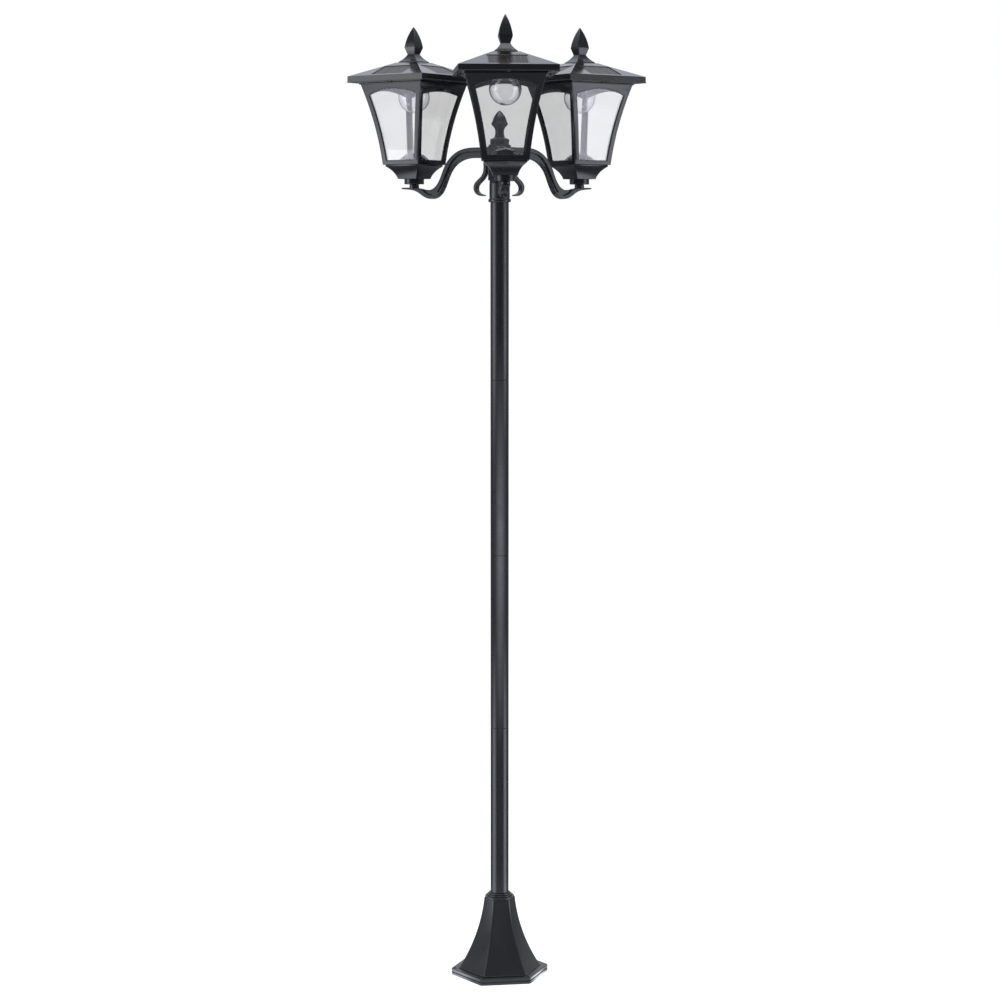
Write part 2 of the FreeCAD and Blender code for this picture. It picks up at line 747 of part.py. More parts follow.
def roof_finial():
    """Four-sided spearhead on a small square cap, pinned into the roof's flat top."""
    cap_z = roof_top_z + finial_cap_edge
    neck_z = roof_top_z + finial_neck_height
    wide_z = roof_top_z + finial_wide_height
    top_z = roof_top_z + finial_height
    belly = (finial_wide_half * finial_belly, wide_z + (top_z - wide_z) * finial_belly_rise)
    foot = (finial_cap_half + finial_neck_half) / 2 - finial_cap_edge
    outline = mirrored_face(
        (finial_cap_half, roof_top_z), (finial_cap_half, cap_z),
        ((foot, (cap_z + neck_z) / 2), (finial_neck_half, neck_z)),
        (finial_wide_half, wide_z), (belly, (finial_tip_half, top_z)))
    pin = rod(finial_pin_radius, roof_top_z - finial_pin_length, roof_top_z)
    return sided(outline, 4).fuse(pin)


def ball(radius):
    """Sphere around the globe's centre."""
    return Part.makeSphere(radius, Vector(0, 0, globe_z))


def bulb_globe():
    """Clear globe, open at its top."""
    globe = ball(globe_radius).cut(ball(globe_radius - globe_wall))
    mouth = globe_z + globe_mouth_rise
    return globe.cut(rod(globe_radius, mouth, soffit_top_z + globe_radius))


def lamp_holder():
    """Ring that grips the globe, closed at its back, with the light's emitter in the middle."""
    low = soffit_z - holder_depth
    back = soffit_z - holder_back
    ring = rod(holder_radius, low, soffit_z).cut(rod(holder_bore, low, back))
    ring = ring.cut(ball(globe_radius + panel_gap).cut(rod(globe_radius, back, soffit_top_z)))
    emitter = rod(led_radius, back - led_height, back)
    return ring.fuse(emitter).removeSplitter()


def battery_pack():
    """Tray on the soffit plate with two round cells lying in it."""
    low = soffit_top_z + panel_gap
    cell_z = low + tray_margin + cell_radius
    cells = []
    for side in (-1, 1):
        start = Vector(-cell_length / 2, side * cell_pitch / 2, cell_z)
        cells.append(Part.makeCylinder(cell_radius, cell_length, start, Vector(1, 0, 0)))
    tray = box(0, 0, low, cell_length + 2 * tray_margin,
               cell_pitch + 2 * cell_radius + 2 * tray_margin, tray_height)
    for cell in cells:
        start = Vector(-cell_length / 2 - panel_gap, cell.BoundBox.Center.y, cell_z)
        seat = Part.makeCylinder(cell_radius + panel_gap, cell_length + 2 * panel_gap, start,
                                 Vector(1, 0, 0))
        tray = tray.cut(seat)
    return Part.makeCompound([tray] + cells)


def control_board():
    """Charge board on four legs over the switch."""
    low = soffit_top_z + panel_gap
    board = box(-board_offset, 0, low + board_stand, board_width, board_length, board_thickness)
    for side_x in (-1, 1):
        for side_y in (-1, 1):
            leg_x = -board_offset + side_x * (board_width / 2 - board_leg)
            leg_y = side_y * (board_length / 2 - board_leg)
            board = board.fuse(rod(board_leg, low, low + board_stand, leg_x, leg_y))
    return board.removeSplitter()


def roof_screws():
    """Four screws, one at the middle of each side of the soffit."""
    return Part.makeCompound(polar(roof_screw(), 4))


def switch_button():
    """Slide button that hangs through the soffit plate on its flange."""
    low = soffit_z - switch_proud
    flange_low = soffit_top_z + seat_gap
    shift = -switch_travel / 2
    stem = box(-switch_offset, shift, low, switch_stem, switch_stem, flange_low - low)
    wide = switch_stem + 2 * switch_flange
    flange = box(-switch_offset, shift, flange_low, wide, wide, switch_flange_height)
    return stem.fuse(flange).removeSplitter()


# ---- assembly ------------------------------------------------------------------------------
def write(name, shape):
    """Check a node's solids and write its STEP file."""
    for solid in shape.Solids:
        if not solid.isValid() or solid.Volume <= 0:
            raise ValueError("unsound solid in " + name)
    shape.exportStep(os.path.join("parts", name + ".step"))
    print(name, len(shape.Solids), "solids", round(shape.Volume / 1000, 2), "cm3")


def as_compound(shape):
    """The node's solids and nothing else."""
    solids = shape.Solids
    return solids[0] if len(solids) == 1 else Part.makeCompound(solids)


def write_on_arms(name, shape, turns):
    """A piece of a head once per arm, turned about the head's axis by its own rest turn."""
    for index in range(head_count):
        copy = shape.copy()
        copy.rotate(ORIGIN, AXIS, turns[index % len(turns)])
        copy.translate(Vector(arm_reach, 0, 0))
        copy.rotate(ORIGIN, AXIS, head_first + index * 360.0 / head_count)
        write("{}_{}".format(name, index + 1), as_compound(copy))


def write_heads():
    """Every piece of a lantern and of its lid."""
    lantern = {
        "socket_bell": socket_bell(), "lantern_frame": lantern_frame(),
        "window_panes": window_panes(), "nut_cover": nut_cover(),
    }
    lid = {
        "roof_shell": roof_shell(), "soffit_plate": soffit_plate(), "solar_panels": solar_panels(),
        "roof_finial": roof_finial(), "bulb_globe": bulb_globe(), "lamp_holder": lamp_holder(),
        "battery_pack": battery_pack(), "control_board": control_board(),
        "roof_screws": roof_screws(), "switch_button": switch_button(),
    }
    together = [lantern_turn + lid_turn for lantern_turn, lid_turn in zip(lantern_turns, lid_turns)]
    for name, shape in lantern.items():
        write_on_arms(name, shape, lantern_turns)
    for name, shape in lid.items():
        write_on_arms(name, shape, together)


def main():
    os.makedirs("parts", exist_ok=True)
    write("base_skirt", as_compound(base_skirt()))
    write("base_ring", as_compound(base_ring()))
    for index in range(pole_section_count):
        write("pole_section_{}".format(index + 1), as_compound(pole_section(index)))
    for index in range(pole_section_count - 1):
        write("pole_coupler_{}".format(index + 1), as_compound(pole_coupler(index)))
    write("top_collar", as_compound(top_collar()))
    write("arm_hub", as_compound(arm_hub()))
    write("hub_finial", as_compound(hub_finial()))
    write("arm_screws", as_compound(arm_screws()))
    for index, copy in enumerate(polar(arm(), head_count, head_first)):
        write("arm_{}".format(index + 1), as_compound(copy))
    write("stud_nuts", as_compound(stud_nuts()))
    write_heads()


main()
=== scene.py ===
import bmesh
import bpy
import json
import math
from mathutils import Matrix, Vector

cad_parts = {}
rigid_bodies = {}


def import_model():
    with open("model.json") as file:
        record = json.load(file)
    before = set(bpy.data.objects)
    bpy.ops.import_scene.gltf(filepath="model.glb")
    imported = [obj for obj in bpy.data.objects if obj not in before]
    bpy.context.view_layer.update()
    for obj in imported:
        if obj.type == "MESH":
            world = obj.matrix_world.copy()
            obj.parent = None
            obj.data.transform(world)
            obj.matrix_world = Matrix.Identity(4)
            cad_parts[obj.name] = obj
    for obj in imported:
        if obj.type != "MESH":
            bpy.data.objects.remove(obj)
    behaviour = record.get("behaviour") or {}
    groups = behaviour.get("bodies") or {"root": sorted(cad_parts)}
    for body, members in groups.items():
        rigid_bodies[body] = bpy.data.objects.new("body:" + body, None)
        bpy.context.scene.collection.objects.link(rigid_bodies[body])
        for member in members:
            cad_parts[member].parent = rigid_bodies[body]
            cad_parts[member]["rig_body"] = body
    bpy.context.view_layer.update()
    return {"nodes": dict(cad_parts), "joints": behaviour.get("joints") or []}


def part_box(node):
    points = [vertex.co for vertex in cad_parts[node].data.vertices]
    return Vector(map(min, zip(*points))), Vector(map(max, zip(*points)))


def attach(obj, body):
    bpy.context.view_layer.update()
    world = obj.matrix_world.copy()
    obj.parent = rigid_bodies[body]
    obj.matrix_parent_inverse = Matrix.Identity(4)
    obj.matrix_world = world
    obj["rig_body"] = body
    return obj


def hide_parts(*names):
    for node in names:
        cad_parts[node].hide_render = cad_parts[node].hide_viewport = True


bl_info = {
    "name": "Triple head lamp post",
    "version": (1, 0, 0),
    "blender": (4, 5, 0),
    "location": "View3D > Sidebar > Lamp Post",
    "description": "Dresses the packed lamp post: edges, finishes, fittings and the studio around it",
    "category": "Object",
}

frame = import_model()
HEADS = (1, 2, 3)
SIDES = 4                # of a lantern and of its roof
POLE_SECTIONS = 4


# ---- places read from the frame ------------------------------------------------------------
def joint(name):
    """The frame's joint of a name."""
    return next(entry for entry in frame["joints"] if entry["name"] == name)


def stud_axis(head):
    """Foot of the axis that a lantern turns about."""
    x, y, _ = joint("head_turn_{}".format(head))["pos_m"]
    return Vector((x, y, 0.0))


def head_place(head):
    """Matrix from a head's own frame, outward side to +X, to its place on the post."""
    x, y, _ = joint("switch_slide_{}".format(head))["axis"]
    return Matrix.Translation(stud_axis(head)) @ Matrix.Rotation(math.atan2(-x, y), 4, "Z")


def own_points(node, place=None):
    """Points of a node, in the post's frame or in the one that a matrix places."""
    back = Matrix() if place is None else place.inverted()
    return [back @ corner.co for corner in frame["nodes"][node].data.vertices]


def spread(points, wanted):
    """Lowest and highest corners of the points that pass a test."""
    near = [place for place in points if wanted(place)]
    low = Vector([min(place[side] for place in near) for side in range(3)])
    high = Vector([max(place[side] for place in near) for side in range(3)])
    return low, high


# ---- sizes and colours a user would change -------------------------------------------------
def length(label, note, default):
    """A length a user may change."""
    return bpy.props.FloatProperty(name=label, description=note, default=default, min=0.0,
                                   unit="LENGTH", precision=5)


def colour(label, note, default):
    """A colour a user may change."""
    return bpy.props.FloatVectorProperty(name=label, description=note, default=default, min=0.0,
                                         max=1.0, size=3, subtype="COLOR")


def share(label, note, default):
    """A number from 0 to 1."""
    return bpy.props.FloatProperty(name=label, description=note, default=default, min=0.0, max=1.0,
                                   subtype="FACTOR")


class LampPostSizes(bpy.types.PropertyGroup):
    """Sizes of the details that are finished here"""
    arm_edge: length("Arm edge", "Edge radius on the arms", 0.0013)
    casting_edge: length("Casting edge", "Edge radius on the hub and base", 0.0008)
    finial_edge: length("Finial edge", "Edge radius on the finials", 0.0012)
    moulding_edge: length("Moulding edge", "Edge radius on the lanterns and roofs", 0.0006)
    turned_edge: length("Turned edge", "Edge radius on the collar, base and small plates", 0.0004)
    cell_count: bpy.props.IntProperty(name="Cells", description="Solar cell strips in one panel",
                                      default=3, min=1, max=12)
    cell_border: length("Cell border", "Panel left bare around its cells", 0.0016)
    cell_gap: length("Cell gap", "Space between two cells", 0.0005)
    cell_height: length("Cell height", "How far a cell stands over its panel", 0.00012)
    finger_pitch: length("Finger pitch", "Distance between a cell's fine lines", 0.0022)
    busbar_width: length("Busbar width", "Width of the strip along a cell", 0.0007)
    screw_recess: length("Screw recess", "Depth of the cross recess in a screw's head", 0.0011)
    emitter_size: length("Emitter size", "Side of the light source's square", 0.0055)


class LampPostFinishes(bpy.types.PropertyGroup):
    """Colours and gloss of the lamp post"""
    coat: colour("Powder coat", "Coated metal of the post, base and arms", (0.0070, 0.0073, 0.0090))
    lantern: colour("Lantern", "Moulded lantern bodies", (0.0062, 0.0064, 0.0080))
    roof: colour("Roof", "Moulded roofs", (0.0060, 0.0062, 0.0078))
    pane: colour("Pane", "Tint of the window panes", (0.812, 0.812, 0.814))
    globe: colour("Globe", "Tint of the globes", (0.97, 0.97, 0.98))
    cell: colour("Cell", "Solar cell strips", (0.015, 0.012, 0.011))
    zinc: colour("Zinc", "Arm screws, nuts and washers", (0.55, 0.55, 0.57))
    oxide: colour("Black oxide", "Roof screws", (0.020, 0.020, 0.021))
    coat_gloss: share("Coat roughness", "Roughness of the powder coat", 0.30)
    lantern_gloss: share("Lantern roughness", "Roughness of the lantern mouldings", 0.22)
    roof_gloss: share("Roof roughness", "Roughness of the roof mouldings", 0.16)


def sizes():
    """The size settings."""
    return bpy.context.scene.lamp_post_sizes


def finishes():
    """The finish settings."""
    return bpy.context.scene.lamp_post_finishes


# ---- node trees ----------------------------------------------------------------------------
ZERO = (0.0, 0.0, 0.0)


def add(tree, kind, inputs=None, **settings):
    """Node with its inputs set from values or from other nodes' sockets."""
    node = tree.nodes.new(kind)
    for name, value in settings.items():
        setattr(node, name, value)
    for key, value in (inputs or {}).items():
        socket = node.inputs[key]
        if isinstance(value, bpy.types.NodeSocket):
            tree.links.new(value, socket)
        else:
            socket.default_value = value
    return node


def maths(tree, operation, first, second=0.0):
    """Number from two."""
    return add(tree, "ShaderNodeMath", {0: first, 1: second}, operation=operation).outputs["Value"]


def vector(tree, x=0.0, y=0.0, z=0.0):
    """Vector from three numbers."""
    return add(tree, "ShaderNodeCombineXYZ", {"X": x, "Y": y, "Z": z}).outputs["Vector"]


def split(tree, whole):
    """The numbers X, Y and Z of a vector."""
    return add(tree, "ShaderNodeSeparateXYZ", {"Vector": whole}).outputs


def rgba(value, gain=1.0):
    """Colour with its alpha, brightened by a gain."""
    return (value[0] * gain, value[1] * gain, value[2] * gain, 1.0)


def on_object(tree):
    """Place on the object itself."""
    return add(tree, "ShaderNodeTexCoord").outputs["Object"]


def noise(tree, place, scale, detail=2.0, roughness=0.5):
    """Noise value over a place."""
    return add(tree, "ShaderNodeTexNoise", {"Vector": place, "Scale": scale, "Detail": detail,
                                            "Roughness": roughness}).outputs["Fac"]


def between(tree, value, low, high, from_low=0.3, from_high=0.7):
    """Value mapped into a range and held there."""
    return add(tree, "ShaderNodeMapRange", {"Value": value, "From Min": from_low, "To Min": low,
                                            "From Max": from_high, "To Max": high}
               ).outputs["Result"]


def mixed(tree, part, first, second):
    """Two colours mixed."""
    node = add(tree, "ShaderNodeMix", {"Factor": part, 6: first, 7: second}, data_type="RGBA")
    return node.outputs[2]


def bumped(tree, height, strength, distance):
    """Normal from a height."""
    return add(tree, "ShaderNodeBump", {"Height": height, "Strength": strength,
                                        "Distance": distance}).outputs["Normal"]


def upward(tree):
    """1 where a surface faces up, 0 where it is upright or faces down."""
    normal = add(tree, "ShaderNodeNewGeometry").outputs["Normal"]
    return between(tree, split(tree, normal)["Z"], 0.0, 1.0, 0.55, 1.0)


# ---- materials -----------------------------------------------------------------------------
DUST = (0.16, 0.15, 0.14, 1.0)
SILVER_LINE = (0.20, 0.20, 0.20, 1.0)


def made_material(name):
    """Turns a recipe, which gives a shader's inputs, into a function that gives the material."""
    def named(recipe):
        def made():
            found = bpy.data.materials.get(name)
            if found is None:
                found = bpy.data.materials.new(name)
                found.use_nodes = True
                tree = found.node_tree
                tree.nodes.clear()
                shader = add(tree, "ShaderNodeBsdfPrincipled", recipe(tree))
                add(tree, "ShaderNodeOutputMaterial", {"Surface": shader.outputs["BSDF"]})
            return found
        return made
    return named


def black_coat(tree, base, rough, grain, grain_depth, cloud, dust, shine=0.5):
    """Black coat or moulding: clouded colour, orange-peel grain, dust on what faces up."""
    place = on_object(tree)
    clouds = noise(tree, place, cloud, 3.0, 0.6)
    body = mixed(tree, between(tree, clouds, 0.0, 1.0), rgba(base, 0.78), rgba(base, 1.3))
    specks = between(tree, noise(tree, place, 60.0, 4.0), 0.25 * dust, dust)
    settled = maths(tree, "MULTIPLY", upward(tree), specks)
    wear = noise(tree, place, cloud * 5.0, 4.0, 0.65)
    peel = noise(tree, place, grain, 1.5, 0.4)
    return {"Base Color": mixed(tree, settled, body, DUST),
            "Roughness": between(tree, wear, rough * 0.86, rough * 1.2),
            "Normal": bumped(tree, peel, 0.5, grain_depth),
            "Specular IOR Level": shine}


@made_material("satin_powder_coat")
def powder_coat(tree):
    """Satin black powder coat on metal."""
    look = finishes()
    return black_coat(tree, look.coat, look.coat_gloss, grain=620.0, grain_depth=0.00006,
                      cloud=7.0, dust=0.05)


@made_material("lantern_moulding")
def lantern_plastic(tree):
    """Semi-gloss black of the lantern mouldings."""
    look = finishes()
    return black_coat(tree, look.lantern, look.lantern_gloss, grain=900.0, grain_depth=0.00002,
                      cloud=11.0, dust=0.04, shine=0.4)


@made_material("gloss_roof_moulding")
def roof_plastic(tree):
    """Gloss black of the roofs."""
    look = finishes()
    return black_coat(tree, look.roof, look.roof_gloss, grain=380.0, grain_depth=0.00002,
                      cloud=9.0, dust=0.06)


@made_material("gloss_dome_moulding")
def dome_plastic(tree):
    """High gloss black of the nut covers."""
    look = finishes()
    return black_coat(tree, look.roof, look.roof_gloss * 0.5, grain=300.0, grain_depth=0.00001,
                      cloud=14.0, dust=0.03)


@made_material("dull_plug_plastic")
def plug_plastic(tree):
    """Dull black of the plugs inside the tube."""
    return black_coat(tree, (0.035, 0.035, 0.036), 0.55, grain=500.0, grain_depth=0.00008,
                      cloud=20.0, dust=0.0)


@made_material("black_oxide_steel")
def black_oxide(tree):
    """Black oxide on steel, faintly oily."""
    return black_coat(tree, finishes().oxide, 0.5, grain=1200.0, grain_depth=0.00001,
                      cloud=60.0, dust=0.0)


@made_material("clear_window_sheet")
def clear_sheet(tree):
    """Clear, faintly smoky sheet of the windows, with fine handling marks."""
    place = on_object(tree)
    tint = finishes().pane
    stretched = add(tree, "ShaderNodeMapping", {"Vector": place, "Scale": (1.0, 1.0, 0.12)})
    marks = noise(tree, stretched.outputs["Vector"], 90.0, 5.0, 0.7)
    shade = between(tree, noise(tree, place, 14.0), 0.0, 1.0)
    return {"Base Color": mixed(tree, shade, rgba(tint, 0.985), rgba(tint, 1.01)),
            "Roughness": between(tree, marks, 0.004, 0.016, 0.45, 0.75),
            "Normal": bumped(tree, noise(tree, place, 18.0, 1.0), 0.06, 0.0004),
            "Transmission Weight": 1.0, "IOR": 1.46}


@made_material("clear_globe_glass")
def globe_glass(tree):
    """Thin clear globe with faint streaks along its blow."""
    place = on_object(tree)
    tint = finishes().globe
    streaks = noise(tree, place, 45.0, 2.0)
    return {"Base Color": mixed(tree, streaks, rgba(tint, 0.985), rgba(tint, 1.01)),
            "Roughness": between(tree, streaks, 0.004, 0.03),
            "Normal": bumped(tree, noise(tree, place, 22.0, 1.0), 0.15, 0.0003),
            "Transmission Weight": 1.0, "IOR": 1.45}


@made_material("panel_backing")
def panel_backing(tree):
    """Dark board of a solar panel, seen between its cells."""
    speckle = noise(tree, on_object(tree), 500.0, 2.0)
    return {"Base Color": mixed(tree, speckle, (0.006, 0.006, 0.008, 1.0),
                                (0.013, 0.013, 0.016, 1.0)),
            "Roughness": between(tree, speckle, 0.10, 0.2)}


@made_material("cell_silicon")
def cell_silicon(tree):
    """Solar cell strip under clear resin: brown-grey with fine silver fingers across it."""
    spot = add(tree, "ShaderNodeUVMap", uv_map="UVMap").outputs["UV"]
    steps = maths(tree, "MULTIPLY", split(tree, spot)["Y"], 1.0 / sizes().finger_pitch)
    line = maths(tree, "LESS_THAN", maths(tree, "FRACT", steps), 0.10)
    grain = noise(tree, spot, 160.0, 3.0, 0.7)
    cell = finishes().cell
    body = mixed(tree, between(tree, grain, 0.0, 1.0), rgba(cell, 0.75), rgba(cell, 1.35))
    return {"Base Color": mixed(tree, maths(tree, "MULTIPLY", line, 0.18), body, SILVER_LINE),
            "Roughness": between(tree, grain, 0.16, 0.30),
            "Specular IOR Level": 0.05}


@made_material("cell_tin")
def cell_tin(tree):
    """Tinned strip along a cell."""
    flow = noise(tree, on_object(tree), 240.0, 2.0)
    return {"Base Color": mixed(tree, flow, (0.035, 0.035, 0.035, 1.0), (0.06, 0.06, 0.063, 1.0)),
            "Roughness": between(tree, flow, 0.28, 0.42),
            "Metallic": 1.0}


@made_material("zinc_plate")
def zinc_plate(tree):
    """Bright zinc plate with a faint brushed grain."""
    place = on_object(tree)
    zinc = finishes().zinc
    cloudy = noise(tree, place, 180.0, 4.0, 0.7)
    return {"Base Color": mixed(tree, cloudy, rgba(zinc, 0.82), rgba(zinc, 1.1)),
            "Roughness": between(tree, cloudy, 0.24, 0.4),
            "Normal": bumped(tree, noise(tree, place, 1400.0, 2.0), 0.2, 0.00002),
            "Metallic": 1.0}


@made_material("white_moulding")
def white_plastic(tree):
    """White moulded plastic of the lamp holders and switches."""
    place = on_object(tree)
    cloudy = noise(tree, place, 30.0, 3.0)
    return {"Base Color": mixed(tree, cloudy, (0.66, 0.66, 0.63, 1.0), (0.74, 0.74, 0.72, 1.0)),
            "Roughness": between(tree, noise(tree, place, 120.0), 0.36, 0.5),
            "Normal": bumped(tree, noise(tree, place, 900.0, 1.0), 0.2, 0.00003)}


@made_material("light_phosphor")
def phosphor(tree):
    """Yellow phosphor of the unlit light source."""
    grains = noise(tree, on_object(tree), 1500.0, 3.0, 0.7)
    return {"Base Color": mixed(tree, grains, (0.66, 0.50, 0.09, 1.0), (0.80, 0.66, 0.20, 1.0)),
            "Roughness": between(tree, grains, 0.3, 0.5)}


@made_material("circuit_mask")
def circuit_board(tree):
    """Green board with paler copper tracks under its mask."""
    cells = add(tree, "ShaderNodeTexVoronoi", {"Vector": on_object(tree), "Scale": 260.0},
                feature="DISTANCE_TO_EDGE", distance="EUCLIDEAN").outputs["Distance"]
    track = between(tree, cells, 1.0, 0.0, 0.05, 0.09)
    return {"Base Color": mixed(tree, track, (0.012, 0.11, 0.035, 1.0), (0.03, 0.20, 0.07, 1.0)),
            "Roughness": between(tree, cells, 0.35, 0.22, 0.0, 0.2),
            "Normal": bumped(tree, track, 0.4, 0.00003)}


@made_material("shrink_wrap")
def cell_wrap(tree):
    """Plain green shrink wrap of the battery cells, with painted shade darkening the hollows of its
    creases.
    """
    creases_and_shade = noise(tree, on_object(tree), 70.0, 4.0, 0.6)
    # colour follows the creases' height: painted shade makes their hollows darker green
    return {"Base Color": mixed(tree, creases_and_shade, (0.03, 0.17, 0.09, 1.0), (0.05, 0.25, 0.13, 1.0)),
            "Roughness": between(tree, creases_and_shade, 0.2, 0.34),
            "Normal": bumped(tree, creases_and_shade, 0.3, 0.0001)}


# ---- pieces --------------------------------------------------------------------------------
SAME_POINT = 2e-6                    # corners of loose triangles this close are one corner
FLAT_TURN = math.radians(0.05)       # faces that turn less than this are one flat face
SHARP_TURN = math.radians(28.0)      # an edge that turns more than this is a sharp one


def linked(name, data):
    """Object in the scene."""
    item = bpy.data.objects.new(name, data)
    bpy.context.scene.collection.objects.link(item)
    return item


def mesh_of(work, name):
    """Mesh of a working shape, which is freed."""
    mesh = bpy.data.meshes.new(name)
    work.to_mesh(mesh)
    work.free()
    return mesh


def finish_node(node, material):
    """Finish on a carried-over node."""
    item = frame["nodes"][node]
    if item.material_slots:
        for entry in item.material_slots:
            entry.material = material
    else:
        item.data.materials.append(material)


def new_piece(name, mesh, body, material=None):
    """Piece in the scene, at the origin, riding on a body."""
    item = linked(name, mesh)
    if material is not None:
        mesh.materials.clear()
        mesh.materials.append(material)
    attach(item, body)
    return item


def merged_copy(node, name):
    """Mesh of a node with its triangles joined, its flat faces whole and its edges marked sharp."""
    work = bmesh.new()
    work.from_mesh(frame["nodes"][node].data)
    bmesh.ops.remove_doubles(work, verts=work.verts, dist=SAME_POINT)
    bmesh.ops.dissolve_limit(work, angle_limit=FLAT_TURN, verts=work.verts, edges=work.edges)
    for face in work.faces:
        face.smooth = True
    weight = work.edges.layers.float.new("bevel_weight_edge")
    for edge in work.edges:
        edge.smooth = edge.calc_face_angle(math.pi) < SHARP_TURN
        edge[weight] = float(not edge.smooth and edge.calc_face_angle_signed(0.0) > 0.0)
    mesh = mesh_of(work, name)
    stale = mesh.attributes.get("custom_normal")
    if stale is not None:
        mesh.attributes.remove(stale)
    return mesh


def eased(node, radius, material, segments=2):
    """Stands for a node, with its sharp outer edges eased to a radius."""
    name = node + "_finished"
    body = frame["nodes"][node]["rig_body"]
    item = new_piece(name, merged_copy(node, name), body, material)
    bevel = item.modifiers.new("eased_edges", "BEVEL")
    bevel.width = radius
    bevel.segments = segments
    bevel.limit_method = "WEIGHT"
    bevel.use_clamp_overlap = False
    bevel.harden_normals = True
    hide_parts(node)
    return item


def baked(item, name):
    """Plain mesh of a piece with its modifiers applied; the piece itself is removed."""
    graph = bpy.context.evaluated_depsgraph_get()
    mesh = bpy.data.meshes.new_from_object(item.evaluated_get(graph), preserve_all_data_layers=True,
                                           depsgraph=graph)
    mesh.name = name
    bpy.data.objects.remove(item)
    return mesh


# ---- geometry node trees -------------------------------------------------------------------
BUSBAR_RISE = 0.5        # height of a busbar over its cell, as a share of the cell's own


def new_tree(name, wanted):
    """Geometry node tree with named inputs; returns the tree and the sockets of its inputs."""
    tree = bpy.data.node_groups.new(name, "GeometryNodeTree")
    for label, kind in wanted.items():
        tree.interface.new_socket(name=label, in_out="INPUT", socket_type="NodeSocket" + kind)
    tree.interface.new_socket(name="Geometry", in_out="OUTPUT", socket_type="NodeSocketGeometry")
    return tree, tree.nodes.new("NodeGroupInput").outputs


def grown(tree, name, values):
    """Plain mesh that a tree makes, with its inputs set by their identifiers."""
    item = linked(name, bpy.data.meshes.new(name))
    modifier = item.modifiers.new("grown", "NODES")
    modifier.node_group = tree
    keys = {entry.name: entry.identifier for entry in tree.interface.items_tree
            if entry.item_type == "SOCKET" and entry.in_out == "INPUT"}
    for label, value in values.items():
        modifier[keys[label]] = value
    bpy.context.view_layer.update()
    return baked(item, name)


def slab(tree, length, width, height):
    """Box around the origin."""
    size = vector(tree, length, width, height)
    return add(tree, "GeometryNodeMeshCube", {"Size": size}).outputs["Mesh"]


def marked(tree, geometry, name, value, kind, domain):
    """Geometry with a value stored on it under a name."""
    return add(tree, "GeometryNodeStoreNamedAttribute",
               {"Geometry": geometry, "Name": name, "Value": value},
               data_type=kind, domain=domain).outputs["Geometry"]


def moved(tree, geometry, place, turn=ZERO):
    """Geometry turned about the origin, then moved."""
    return add(tree, "GeometryNodeTransform", {"Geometry": geometry, "Rotation": turn,
                                               "Translation": place}).outputs["Geometry"]


def copies(tree, shape, count, step, start=ZERO, turn=ZERO):
    """Copies of a shape in a row, each with its turn."""
    row = add(tree, "GeometryNodeMeshLine", {"Count": count, "Start Location": start,
                                             "Offset": step}, mode="OFFSET").outputs["Mesh"]
    return add(tree, "GeometryNodeInstanceOnPoints", {"Points": row, "Instance": shape,
                                                      "Rotation": turn}).outputs["Instances"]


def side_by_side(tree, shape, count, pitch):
    """Copies of a shape along Y, centred."""
    steps = maths(tree, "SUBTRACT", count, 1.0)
    start = maths(tree, "MULTIPLY", maths(tree, "MULTIPLY", steps, pitch), -0.5)
    return copies(tree, shape, count, vector(tree, y=pitch), vector(tree, y=start))


def all_around(tree, shape, count, step, first=0.0):
    """Copies of a shape around the Z axis, as plain geometry."""
    index = add(tree, "GeometryNodeInputIndex").outputs["Index"]
    turn = maths(tree, "ADD", maths(tree, "MULTIPLY", index, step), first)
    ring = copies(tree, shape, count, ZERO, turn=vector(tree, z=turn))
    return add(tree, "GeometryNodeRealizeInstances", {"Geometry": ring}).outputs["Geometry"]


def dressed(tree, geometry, material, faces=True):
    """Geometry with a material on the faces that are picked."""
    return add(tree, "GeometryNodeSetMaterial", {"Geometry": geometry, "Selection": faces,
                                                 "Material": material}).outputs["Geometry"]


def cell_tree():
    """Solar cells of one lid: a row of strips with their busbars, once on every slope."""
    tree, size = new_tree("solar_cells", {
        "Cells": "Int", "Cell Width": "Float", "Cell Length": "Float", "Gap": "Float",
        "Height": "Float", "Busbar": "Float", "Slope": "Float", "Edge": "Float", "Eave": "Float",
        "From Eave": "Float", "Silicon": "Material", "Tin": "Material"})
    pitch = maths(tree, "ADD", size["Cell Width"], size["Gap"])
    half_up = maths(tree, "MULTIPLY", size["Height"], 0.5)
    spot = add(tree, "GeometryNodeInputPosition").outputs["Position"]
    cell = slab(tree, size["Cell Length"], size["Cell Width"], size["Height"])
    cell = marked(tree, cell, "UVMap", spot, "FLOAT2", "CORNER")
    cell = moved(tree, cell, vector(tree, z=half_up))
    rise = maths(tree, "MULTIPLY", size["Height"], BUSBAR_RISE)
    bar = slab(tree, size["Cell Length"], size["Busbar"], rise)
    bar = marked(tree, bar, "busbar", True, "BOOLEAN", "FACE")
    on_cell = maths(tree, "MULTIPLY", size["Height"], 1.0 + BUSBAR_RISE / 2)
    bar = moved(tree, bar, vector(tree, z=on_cell))
    panel = add(tree, "GeometryNodeJoinGeometry",
                {"Geometry": side_by_side(tree, cell, size["Cells"], pitch)})
    tree.links.new(side_by_side(tree, bar, size["Cells"], pitch), panel.inputs["Geometry"])
    run = maths(tree, "MULTIPLY", size["From Eave"], -1.0)
    leaning = moved(tree, panel.outputs["Geometry"], vector(tree, x=run))
    leaning = moved(tree, leaning, vector(tree, x=size["Edge"], z=size["Eave"]),
                    vector(tree, y=size["Slope"]))
    whole = all_around(tree, leaning, SIDES, 2 * math.pi / SIDES)
    tinned = add(tree, "GeometryNodeInputNamedAttribute", {"Name": "busbar"}, data_type="BOOLEAN")
    whole = dressed(tree, whole, size["Silicon"])
    whole = dressed(tree, whole, size["Tin"], tinned.outputs["Attribute"])
    add(tree, "NodeGroupOutput", {"Geometry": whole})
    return tree


